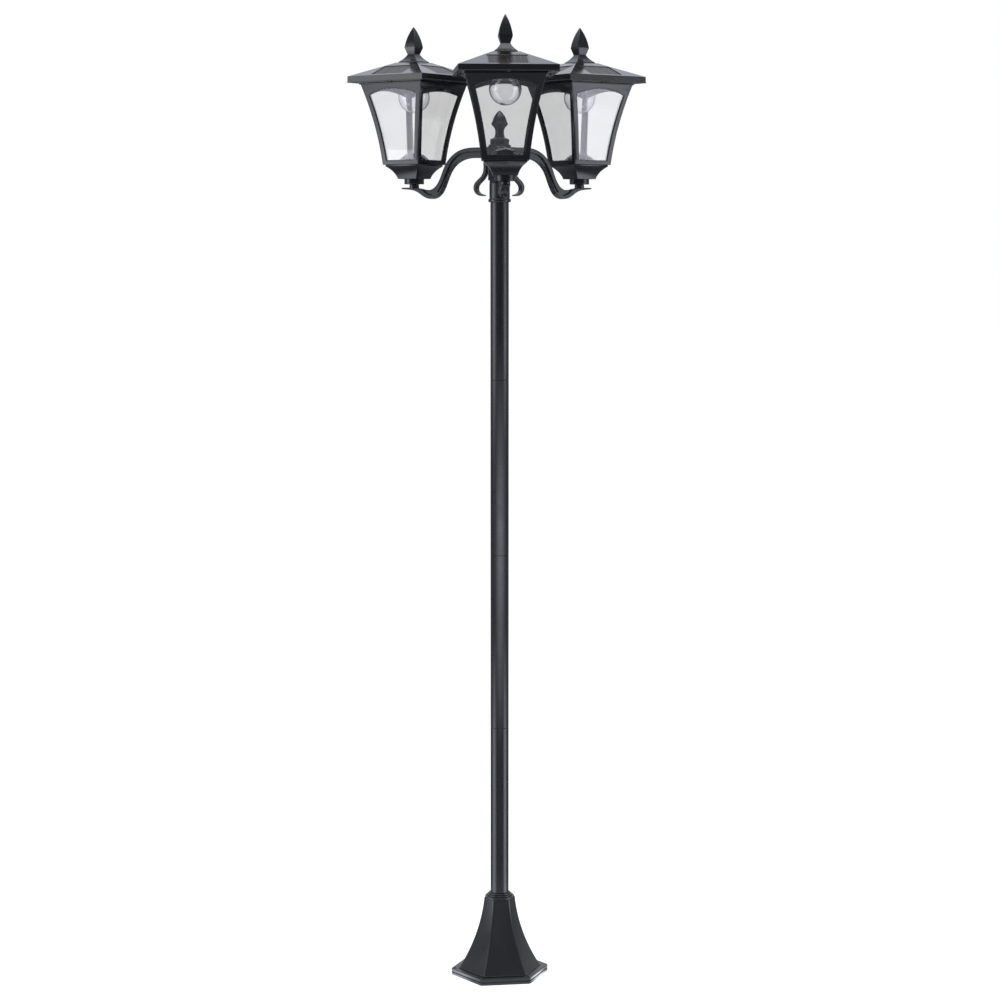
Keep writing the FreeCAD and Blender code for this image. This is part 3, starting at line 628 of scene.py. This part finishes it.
def screw_tree():
    """Like screws around an axis, in one or more rows."""
    tree, size = new_tree("screw_ring", {
        "Screw": "Object", "Count": "Int", "First Angle": "Float", "Rows": "Int",
        "Row Step": "Float", "Plating": "Material"})
    screw = add(tree, "GeometryNodeObjectInfo", {"Object": size["Screw"]},
                transform_space="ORIGINAL").outputs["Geometry"]
    stack = copies(tree, screw, size["Rows"], vector(tree, z=size["Row Step"]))
    step = maths(tree, "DIVIDE", 2 * math.pi, size["Count"])
    whole = all_around(tree, stack, size["Count"], step, size["First Angle"])
    add(tree, "NodeGroupOutput", {"Geometry": dressed(tree, whole, size["Plating"])})
    return tree


# ---- screws --------------------------------------------------------------------------------
SCREW_SIDES = 28                     # sides of a screw's round outline
SCREW_SHARP = math.radians(38.0)     # an edge of it that turns more than this is a sharp one
CROWN = 0.72                         # radius of the head's flat top, as a share of the head's
CROSS_LENGTH = 0.82                  # half length of the recess, as a share of the flat top
CROSS_WIDTH = 0.22                   # half width of its arms, as a share of the flat top
CROSS_FLOOR = 0.7                    # size of its floor, as a share of its mouth


def circle(work, radius, height):
    """Corners of a level circle around Z."""
    steps = [2 * math.pi * side / SCREW_SIDES for side in range(SCREW_SIDES)]
    return [work.verts.new((radius * math.cos(step), radius * math.sin(step), height))
            for step in steps]


def cross(half_length, half_width):
    """Corners of a cross, in order around it."""
    corners = []
    for quarter in range(4):
        spin = Matrix.Rotation(quarter * math.pi / 2, 3, "Z")
        corners += [spin @ Vector(place) for place in (
            (half_length, -half_width, 0), (half_length, half_width, 0),
            (half_width, half_width, 0))]
    return corners


def cross_screw(name, head_radius, head_height, shank_radius, shank_length, recess):
    """Pan-head screw with a cross recess. Its head stands on z = 0 and its shank goes down."""
    tip_radius, tip_length = shank_radius * 0.35, shank_radius * 0.8
    crown = head_radius * CROWN
    # Up the tip and shank, out under the head, up its side, and in over its rounded rim.
    outline = [(tip_radius, -shank_length), (shank_radius, -shank_length + tip_length),
               (shank_radius, 0.0), (head_radius * 0.95, 0.0), (head_radius, head_height * 0.12),
               (head_radius, head_height * 0.45), (head_radius * 0.9, head_height * 0.85),
               (crown, head_height)]
    work = bmesh.new()
    rings = [circle(work, radius, height) for radius, height in outline]
    for lower, upper in zip(rings, rings[1:]):
        for k in range(SCREW_SIDES):
            after = (k + 1) % SCREW_SIDES
            work.faces.new((lower[k], lower[after], upper[after], upper[k]))
    work.faces.new(list(reversed(rings[0])))
    corners = cross(crown * CROSS_LENGTH, crown * CROSS_WIDTH)
    count = len(corners)
    top = [work.verts.new((place.x, place.y, head_height)) for place in corners]
    floor = [work.verts.new((place.x * CROSS_FLOOR, place.y * CROSS_FLOOR, head_height - recess))
             for place in corners]
    edges = [work.edges.new((top[k], top[(k + 1) % count])) for k in range(count)]
    edges += [work.edges.get((rings[-1][k], rings[-1][(k + 1) % SCREW_SIDES]))
              for k in range(SCREW_SIDES)]
    bmesh.ops.triangle_fill(work, edges=edges, use_beauty=True)
    for k in range(count):
        work.faces.new((top[(k + 1) % count], top[k], floor[k], floor[(k + 1) % count]))
    work.faces.new(floor)
    bmesh.ops.recalc_face_normals(work, faces=work.faces)
    for face in work.faces:
        face.smooth = True
    for edge in work.edges:
        edge.smooth = edge.calc_face_angle(math.pi) < SCREW_SHARP
    return mesh_of(work, name)


# ---- operators -----------------------------------------------------------------------------
class PieceOperator(bpy.types.Operator):
    """Base of the operators that make a piece"""
    bl_options = {"REGISTER", "UNDO"}


class LAMP_POST_OT_base(PieceOperator):
    """Finish the flared base and the ring around the foot of the pole"""
    bl_idname = "lamp_post.base"
    bl_label = "Base"

    def execute(self, context):
        coat = powder_coat()
        eased("base_skirt", sizes().casting_edge, coat)
        eased("base_ring", sizes().turned_edge, coat)
        return {"FINISHED"}


class LAMP_POST_OT_pole(PieceOperator):
    """Finish the four lengths of tube, the plugs in their joints and the collar"""
    bl_idname = "lamp_post.pole"
    bl_label = "Pole"

    def execute(self, context):
        coat = powder_coat()
        for index in range(1, POLE_SECTIONS + 1):
            finish_node("pole_section_{}".format(index), coat)
        for index in range(1, POLE_SECTIONS):
            finish_node("pole_coupler_{}".format(index), plug_plastic())
        eased("top_collar", sizes().turned_edge, coat)
        return {"FINISHED"}


class LAMP_POST_OT_arms(PieceOperator):
    """Finish the three cast arms, the hub between them and its leaf finial"""
    bl_idname = "lamp_post.arms"
    bl_label = "Arms and hub"

    def execute(self, context):
        coat = powder_coat()
        for head in HEADS:
            eased("arm_{}".format(head), sizes().arm_edge, coat, segments=3)
        eased("arm_hub", sizes().casting_edge, coat)
        eased("hub_finial", sizes().casting_edge, coat)
        return {"FINISHED"}


class LAMP_POST_OT_lanterns(PieceOperator):
    """Finish the bells, four-window frames, panes and nut covers of the lanterns"""
    bl_idname = "lamp_post.lanterns"
    bl_label = "Lanterns"

    def execute(self, context):
        for head in HEADS:
            eased("socket_bell_{}".format(head), sizes().turned_edge, lantern_plastic())
            eased("lantern_frame_{}".format(head), sizes().moulding_edge, lantern_plastic())
            finish_node("window_panes_{}".format(head), clear_sheet())
            eased("nut_cover_{}".format(head), sizes().turned_edge, dome_plastic())
        return {"FINISHED"}


class LAMP_POST_OT_roofs(PieceOperator):
    """Finish the roof shells, their soffit plates and the finials on them"""
    bl_idname = "lamp_post.roofs"
    bl_label = "Roofs"

    def execute(self, context):
        for head in HEADS:
            eased("roof_shell_{}".format(head), sizes().moulding_edge, roof_plastic())
            eased("soffit_plate_{}".format(head), sizes().turned_edge, roof_plastic())
            eased("roof_finial_{}".format(head), sizes().finial_edge, lantern_plastic(),
                  segments=3)
        return {"FINISHED"}


OUTER_PANEL_FROM = 0.03     # the outer panel of a roof lies further out than this
OUTER_PANEL_SIDE = 0.04     # and the panels at its sides lie beyond this


def outer_panel():
    """Points at the foot and the top of a roof's outer panel, in its head's frame, and its width."""
    outer = [place for place in own_points("solar_panels_1", head_place(1))
             if place.x > OUTER_PANEL_FROM and abs(place.y) < OUTER_PANEL_SIDE]
    width = 2 * max(place.y for place in outer)
    lower = max(outer, key=lambda place: place.x)
    upper = max(outer, key=lambda place: place.z)
    return lower, upper, width


class LAMP_POST_OT_solar(PieceOperator):
    """Grow the solar cell strips on the panels of every roof"""
    bl_idname = "lamp_post.solar"
    bl_label = "Solar cells"

    def execute(self, context):
        size = sizes()
        lower, upper, width = outer_panel()
        run = lower.x - upper.x
        rise = upper.z - lower.z
        along = math.hypot(run, rise)
        slope = math.atan2(rise, run)
        cell_length = along - 2 * size.cell_border
        room = width - 2 * size.cell_border - (size.cell_count - 1) * size.cell_gap
        tree = cell_tree()
        for head in HEADS:
            name = "solar_cells_{}".format(head)
            mesh = grown(tree, name, {
                "Cells": size.cell_count, "Cell Width": room / size.cell_count,
                "Cell Length": cell_length, "Gap": size.cell_gap, "Height": size.cell_height,
                "Busbar": size.busbar_width, "Slope": slope, "Edge": lower.x, "Eave": lower.z,
                "From Eave": along / 2, "Silicon": cell_silicon(), "Tin": cell_tin()})
            mesh.transform(head_place(head))
            new_piece(name, mesh, "roof_{}".format(head))
            finish_node("solar_panels_{}".format(head), panel_backing())
        return {"FINISHED"}


EMITTER_SQUARES = 6         # squares along a side of the light source
EMITTER_BULGE = 0.0006      # how far its middle swells down
EMITTER_DROP = 0.0001       # how far its edge hangs below its mount
EMITTER_MOUNT = 0.0056      # radius within which the holder's lowest face is the mount


def mount_height(head):
    """Height of the face in the middle of a holder that the light source sits on."""
    axis = stud_axis(head)
    points = own_points("lamp_holder_{}".format(head))
    return min(place.z for place in points
               if (place - Vector((axis.x, axis.y, place.z))).length < EMITTER_MOUNT)


def light_source(name):
    """Square that swells down from the middle of z = 0."""
    half = sizes().emitter_size / 2
    work = bmesh.new()
    bmesh.ops.create_grid(work, x_segments=EMITTER_SQUARES, y_segments=EMITTER_SQUARES, size=half)
    for corner in work.verts:
        edge = max(abs(corner.co.x), abs(corner.co.y)) / half
        corner.co.z = -EMITTER_BULGE * (1.0 - edge ** 4)
    for face in work.faces:
        face.normal_flip()
        face.smooth = True
    return mesh_of(work, name)


class LAMP_POST_OT_lights(PieceOperator):
    """Finish the globes and lamp holders, and set a light source in every holder"""
    bl_idname = "lamp_post.lights"
    bl_label = "Lights"

    def execute(self, context):
        for head in HEADS:
            finish_node("bulb_globe_{}".format(head), globe_glass())
            eased("lamp_holder_{}".format(head), sizes().turned_edge, white_plastic())
            name = "light_source_{}".format(head)
            mesh = light_source(name)
            mesh.transform(head_place(head) @ Matrix.Translation(
                (0.0, 0.0, mount_height(head) - EMITTER_DROP)))
            new_piece(name, mesh, "roof_{}".format(head), phosphor())
        return {"FINISHED"}


# Where the screws' own points are told from the others, in a head's frame or the post's.
OUTER_SCREW_FROM = 0.05     # the outer one of a roof's screws lies further out than this
SOFFIT_EDGE_FROM = 0.08     # the soffit plate's outer edge lies further out than this
PAST_HEAD = 0.002           # this far up from its seat a roof screw is all shank
ARM_SCREW_SIDE = 0.003      # the shanks on the front arm lie within this of the middle
SAME_PLACE = 0.0001         # two places this close are one


class LAMP_POST_OT_fasteners(PieceOperator):
    """Turn the screws with cross recesses, and finish the nuts"""
    bl_idname = "lamp_post.fasteners"
    bl_label = "Fasteners"

    def execute(self, context):
        tree = screw_tree()
        self.roof_screws(tree)
        self.arm_screws(tree)
        finish_node("stud_nuts", zinc_plate())
        return {"FINISHED"}

    def roof_screws(self, tree):
        """Four screws up into the bosses of every roof."""
        points = own_points("roof_screws_1", head_place(1))
        soffit = own_points("soffit_plate_1", head_place(1))
        low, high = spread(points, lambda place: place.x > OUTER_SCREW_FROM)
        seat = spread(soffit, lambda place: place.x > SOFFIT_EDGE_FROM)[0].z
        shank = spread(points, lambda place: place.x > OUTER_SCREW_FROM
                       and place.z > seat + PAST_HEAD)[1].y
        head_radius = high.y
        shape = cross_screw("roof_screw", head_radius, seat - low.z, shank, high.z - seat,
                            sizes().screw_recess)
        shape.transform(Matrix.Translation((high.x - head_radius, 0.0, seat))
                        @ Matrix.Rotation(math.pi, 4, "X"))
        for head in HEADS:
            name = "roof_screws_{}_turned".format(head)
            mesh = self.ring(tree, name, shape, SIDES, first=0.0, rows=1, step=0.0,
                             plating=black_oxide())
            mesh.transform(head_place(head))
            item = new_piece(name, mesh, "roof_{}".format(head))
            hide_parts("roof_screws_{}".format(head))

    def arm_screws(self, tree):
        """Two rows of screws around the hub, one over the other on every arm."""
        node = "arm_screws"
        points = own_points(node)
        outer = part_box(node)[0].y
        inner = spread(points, lambda place: abs(place.x) < ARM_SCREW_SIDE and place.y < 0.0)[1].y
        low, high = spread(points, lambda place: place.y < outer + SAME_PLACE)
        head_radius = high.x
        shank = spread(points, lambda place: abs(place.y - inner) < SAME_PLACE
                       and abs(place.x) < ARM_SCREW_SIDE)[1].x
        back = spread(points, lambda place: abs(place.x - head_radius) < SAME_PLACE
                      and place.y < 0.0)[1].y
        shape = cross_screw("arm_screw", head_radius, back - outer, shank, inner - back,
                            sizes().screw_recess)
        shape.transform(Matrix.Translation((-back, 0.0, low.z + head_radius))
                        @ Matrix.Rotation(math.pi / 2, 4, "Y"))
        rise = high.z - low.z - 2 * head_radius
        mesh = self.ring(tree, "arm_screws_turned", shape, len(HEADS), first=-math.pi / 2, rows=2,
                         step=rise, plating=zinc_plate())
        item = new_piece("arm_screws_turned", mesh, "root")
        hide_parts(node)

    def ring(self, tree, name, shape, count, first, rows, step, plating):
        """Plain mesh of like screws around an axis."""
        pattern = linked("screw_pattern", shape)
        mesh = grown(tree, name, {"Screw": pattern, "Count": count, "First Angle": first,
                                  "Rows": rows, "Row Step": step, "Plating": plating})
        bpy.data.objects.remove(pattern)
        return mesh


class LAMP_POST_OT_electrics(PieceOperator):
    """Finish the battery packs, charge boards and switches inside the lids"""
    bl_idname = "lamp_post.electrics"
    bl_label = "Electrics"

    def execute(self, context):
        for head in HEADS:
            finish_node("battery_pack_{}".format(head), cell_wrap())
            finish_node("control_board_{}".format(head), circuit_board())
            eased("switch_button_{}".format(head), sizes().turned_edge, white_plastic())
        return {"FINISHED"}


# ---- studio --------------------------------------------------------------------------------
PHOTO_TURN = math.radians(-3.2)              # how far the camera stands round the post
PHOTO_TIP = math.radians(6.26)               # how far it looks down
PHOTO_PLACE = (0.00073, -4.5733, 1.432)      # where it stands, before that turn
PHOTO_LENS = 86.4                            # millimetres, over a 36 mm wide sensor
SOFTBOXES = (                                # name, place, aim, width, height, watts
    ("left_softbox", (-3.0, -0.50, 1.9), (0.0, 0.0, 1.2), 1.3, 1.7, 14.0),
    ("top_softbox", (0.0, -0.6, 4.2), (0.0, 0.0, 0.0), 2.2, 2.2, 60.0),
    ("low_softbox", (0.0, -1.6, 0.32), (0.0, 0.0, 0.12), 1.0, 0.6, 0.8),
)
FLOOR_HALF = 30.0                            # half the side of the floor
PAPER = (0.60, 0.60, 0.60, 1.0)              # colour of the floor
PAPER_GLOW = 0.76                            # lifts the paper to white where it is seen
SKY_FILL = 0.55                              # strength of the surroundings on matt finishes
ROOM_TINT = (0.93, 0.97, 1.08)               # tint of all that gloss mirrors
# Glows that gloss mirrors: the direction of the middle, the level there, how far they spread.
LEFT_GLOW = ((-0.97, -0.24, 0.0), 3.2, math.radians(30.0))
RIGHT_GLOW = ((0.94, -0.34, 0.0), 4.0, math.radians(23.0))
FRONT_GLOW = ((0.10, -0.995, 0.0), 3.8, math.radians(65.0))
# What gloss mirrors of the floor before the camera: distance from the post and glow there.
FLOOR_GLOW = ((0.0, 1.5), (0.45, 1.5), (0.62, 0.32), (2.2, 0.38), (3.3, 0.60), (4.6, 0.34),
              (12.0, 0.28))
MID_POLE = 0.86          # metres up the pole where the light from the front is fullest
MID_POLE_FULL = 0.03     # metres above and below it where that light is still full
MID_POLE_REACH = 0.40    # metres above and below it where that light has faded out
# How glows run with a direction or a share: level at the low end and at the high end, and the
# places of those two ends.
SIDES_BY_MID = (1.0, 0.0, 0.0, 0.6)       # the floor's sides, by the share of the middle's light
FLOOR_BY_Y = (1.0, 0.7, 0.0, 0.5)         # the floor close to the post, dimmer behind it
ROOM_BY_Y = (0.2, 0.35, -0.75, -0.2)      # the room, from the camera's side to the post's back
BEHIND_BY_Y = (0.0, 1.0, 0.1, 0.6)        # the wall behind the post
BEHIND_BY_Z = (0.1, 1.15, 0.08, 0.65)     # the same wall, brighter higher up
OVERHEAD = (0.0, 0.55, 0.25, 0.9)         # the ceiling, by Z
NEAR_HORIZON = (0.0, 0.40, 0.05, 0.30)    # low all round, by Z
SIDES_BY_Z = (1.0, 0.1, 0.0, 0.05)        # the room's sides, full only at the floor's edge


def by_distance(tree, distance, stops):
    """Number that runs through a few stops of (distance, number)."""
    reach = stops[-1][0]
    ramp = add(tree, "ShaderNodeValToRGB", {"Fac": maths(tree, "DIVIDE", distance, reach)})
    elements = ramp.color_ramp.elements
    while len(elements) < len(stops):
        elements.new(0.5)
    for element, (place, level) in zip(elements, stops):
        element.position = place / reach
        element.color = (level, level, level, 1.0)
    return ramp.outputs["Color"]


def vector_maths(tree, operation, first, second=ZERO, result="Value"):
    """Number, or vector, from two vectors."""
    return add(tree, "ShaderNodeVectorMath", {0: first, 1: second},
               operation=operation).outputs[result]


def lobe(tree, way, centre, level, spread_angle):
    """Glow around one direction, level at its middle and nothing beyond its angle."""
    facing = vector_maths(tree, "DOT_PRODUCT", way, centre)
    return between(tree, facing, 0.0, level, math.cos(spread_angle), 1.0)


def side_glow(tree, way):
    """Glow of the room on both sides of the camera, as low gloss sees it."""
    return maths(tree, "ADD", lobe(tree, way, *LEFT_GLOW), lobe(tree, way, *RIGHT_GLOW))


def mid_pole_share(tree, far):
    """1 for a ray that left the middle of the pole, 0 for one from its ends, the base or a head."""
    incoming = split(tree, add(tree, "ShaderNodeNewGeometry").outputs["Incoming"])
    run = vector_maths(tree, "LENGTH", vector(tree, incoming["X"], incoming["Y"]))
    left_at = maths(tree, "MULTIPLY", far, maths(tree, "DIVIDE", incoming["Z"], run))
    off = maths(tree, "ABSOLUTE", maths(tree, "SUBTRACT", left_at, MID_POLE))
    return between(tree, off, 1.0, 0.0, MID_POLE_FULL, MID_POLE_REACH)


def glowing(tree, strength, tint=(1.0, 1.0, 1.0)):
    """Glow."""
    return add(tree, "ShaderNodeEmission", {"Color": rgba(tint), "Strength": strength}
               ).outputs["Emission"]


def sorted_rays(tree):
    """Two numbers of 0 or 1: a ray that gloss mirrored, and one seen straight or through panes."""
    path = add(tree, "ShaderNodeLightPath").outputs
    mirrored = maths(tree, "MINIMUM", path["Glossy Depth"], 1.0)
    straight = maths(tree, "MAXIMUM", path["Is Camera Ray"], path["Is Transmission Ray"])
    return mirrored, maths(tree, "MULTIPLY", straight, maths(tree, "SUBTRACT", 1.0, mirrored))


def floor_reflection(tree):
    """Glow of the floor in gloss: near light, sides for the pole's ends, front for its middle."""
    place = on_object(tree)
    away = vector_maths(tree, "NORMALIZE", place, result="Vector")
    far = vector_maths(tree, "LENGTH", place)
    near = maths(tree, "MULTIPLY", by_distance(tree, far, FLOOR_GLOW),
                 between(tree, split(tree, away)["Y"], *FLOOR_BY_Y))
    mid = mid_pole_share(tree, far)
    sides = maths(tree, "MULTIPLY", side_glow(tree, away), between(tree, mid, *SIDES_BY_MID))
    front = maths(tree, "MULTIPLY", lobe(tree, away, *FRONT_GLOW), mid)
    return maths(tree, "ADD", near, maths(tree, "ADD", sides, front))


def studio_floor():
    """Pale floor that keeps the post's shadow and carries the room's glow on in gloss."""
    work = bmesh.new()
    bmesh.ops.create_grid(work, x_segments=1, y_segments=1, size=FLOOR_HALF)
    item = linked("studio_floor", mesh_of(work, "studio_floor"))
    material = bpy.data.materials.new("studio_paper")
    material.use_nodes = True
    tree = material.node_tree
    tree.nodes.clear()
    mirrored, seen = sorted_rays(tree)
    plain = add(tree, "ShaderNodeBsdfDiffuse", {"Color": PAPER}).outputs["BSDF"]
    lift = glowing(tree, maths(tree, "MULTIPLY", seen, PAPER_GLOW))
    pale = add(tree, "ShaderNodeAddShader", {0: plain, 1: lift}).outputs["Shader"]
    room = glowing(tree, floor_reflection(tree), ROOM_TINT)
    whole = add(tree, "ShaderNodeMixShader", {0: mirrored, 1: pale, 2: room}).outputs["Shader"]
    add(tree, "ShaderNodeOutputMaterial", {"Surface": whole})
    item.data.materials.append(material)


def room_reflection(tree, way):
    """Glow of the room in gloss: behind the post, overhead and at both sides of the camera."""
    parts = split(tree, way)
    behind = maths(tree, "MULTIPLY", between(tree, parts["Y"], *BEHIND_BY_Y),
                   between(tree, parts["Z"], *BEHIND_BY_Z))
    room = maths(tree, "ADD", between(tree, parts["Y"], *ROOM_BY_Y), behind)
    room = maths(tree, "MAXIMUM", room, between(tree, parts["Z"], *OVERHEAD))
    room = maths(tree, "MAXIMUM", room, between(tree, parts["Z"], *NEAR_HORIZON))
    sides = maths(tree, "MULTIPLY", side_glow(tree, way), between(tree, parts["Z"], *SIDES_BY_Z))
    return maths(tree, "ADD", room, sides)


def studio_world():
    """White surroundings, darker on the camera's side in what gloss reflects."""
    world = bpy.data.worlds.new("studio_world")
    bpy.context.scene.world = world
    world.use_nodes = True
    tree = world.node_tree
    tree.nodes.clear()
    room = room_reflection(tree, add(tree, "ShaderNodeTexCoord").outputs["Generated"])
    mirrored, seen = sorted_rays(tree)
    others = maths(tree, "SUBTRACT", 1.0, maths(tree, "MAXIMUM", seen, mirrored))
    level = maths(tree, "ADD", maths(tree, "ADD", seen, maths(tree, "MULTIPLY", mirrored, room)),
                  maths(tree, "MULTIPLY", others, SKY_FILL))
    tint = mixed(tree, mirrored, (1.0, 1.0, 1.0, 1.0), rgba(ROOM_TINT))
    sky = add(tree, "ShaderNodeBackground", {"Color": tint, "Strength": level})
    add(tree, "ShaderNodeOutputWorld", {"Surface": sky.outputs["Background"]})


def softbox(name, place, aim, width, height, power):
    """Soft rectangular lamp."""
    lamp = bpy.data.lights.new(name, "AREA")
    lamp.shape = "RECTANGLE"
    lamp.size = width
    lamp.size_y = height
    lamp.energy = power
    item = linked(name, lamp)
    item.location = place
    item.rotation_euler = (Vector(aim) - Vector(place)).to_track_quat("-Z", "Y").to_euler()


def photo_camera():
    """Camera at the photograph's angle: level with the pole's upper third, tipped a little down."""
    item = linked("photo_camera", bpy.data.cameras.new("photo_camera"))
    item.data.sensor_width = 36.0
    item.data.lens = PHOTO_LENS
    item.data.clip_end = 100.0
    item.location = Matrix.Rotation(PHOTO_TURN, 3, "Z") @ Vector(PHOTO_PLACE)
    item.rotation_euler = (math.pi / 2 - PHOTO_TIP, 0.0, PHOTO_TURN)
    bpy.context.scene.camera = item


class LAMP_POST_OT_studio(PieceOperator):
    """Set the camera, floor, surroundings and soft lamps"""
    bl_idname = "lamp_post.studio"
    bl_label = "Studio"

    def execute(self, context):
        context.scene.view_settings.view_transform = "Standard"
        photo_camera()
        studio_floor()
        studio_world()
        for box in SOFTBOXES:
            softbox(*box)
        return {"FINISHED"}


# ---- panel and registration ----------------------------------------------------------------
PIECES = (
    LAMP_POST_OT_studio, LAMP_POST_OT_base, LAMP_POST_OT_pole, LAMP_POST_OT_arms,
    LAMP_POST_OT_lanterns, LAMP_POST_OT_roofs, LAMP_POST_OT_solar, LAMP_POST_OT_lights,
    LAMP_POST_OT_fasteners, LAMP_POST_OT_electrics,
)


class LAMP_POST_PT_panel(bpy.types.Panel):
    """Lamp post pieces and finishes"""
    bl_idname = "LAMP_POST_PT_panel"
    bl_label = "Lamp Post"
    bl_space_type = "VIEW_3D"
    bl_region_type = "UI"
    bl_category = "Lamp Post"

    def draw(self, context):
        for piece in PIECES:
            self.layout.operator(piece.bl_idname)
        for group in (context.scene.lamp_post_sizes, context.scene.lamp_post_finishes):
            box = self.layout.box()
            for name in group.bl_rna.properties.keys():
                if name not in ("rna_type", "name"):
                    box.prop(group, name)


CLASSES = (LampPostSizes, LampPostFinishes) + PIECES + (LAMP_POST_PT_panel,)


def register():
    """Add the classes and the scene's settings."""
    for entry in CLASSES:
        bpy.utils.register_class(entry)
    bpy.types.Scene.lamp_post_sizes = bpy.props.PointerProperty(type=LampPostSizes)
    bpy.types.Scene.lamp_post_finishes = bpy.props.PointerProperty(type=LampPostFinishes)


def unregister():
    """Take the settings and the classes away again."""
    del bpy.types.Scene.lamp_post_finishes
    del bpy.types.Scene.lamp_post_sizes
    for entry in reversed(CLASSES):
        bpy.utils.unregister_class(entry)


def main():
    """Make every piece in order."""
    register()
    for piece in PIECES:
        group, name = piece.bl_idname.split(".")
        getattr(getattr(bpy.ops, group), name)()


if __name__ == "__main__":
    main()
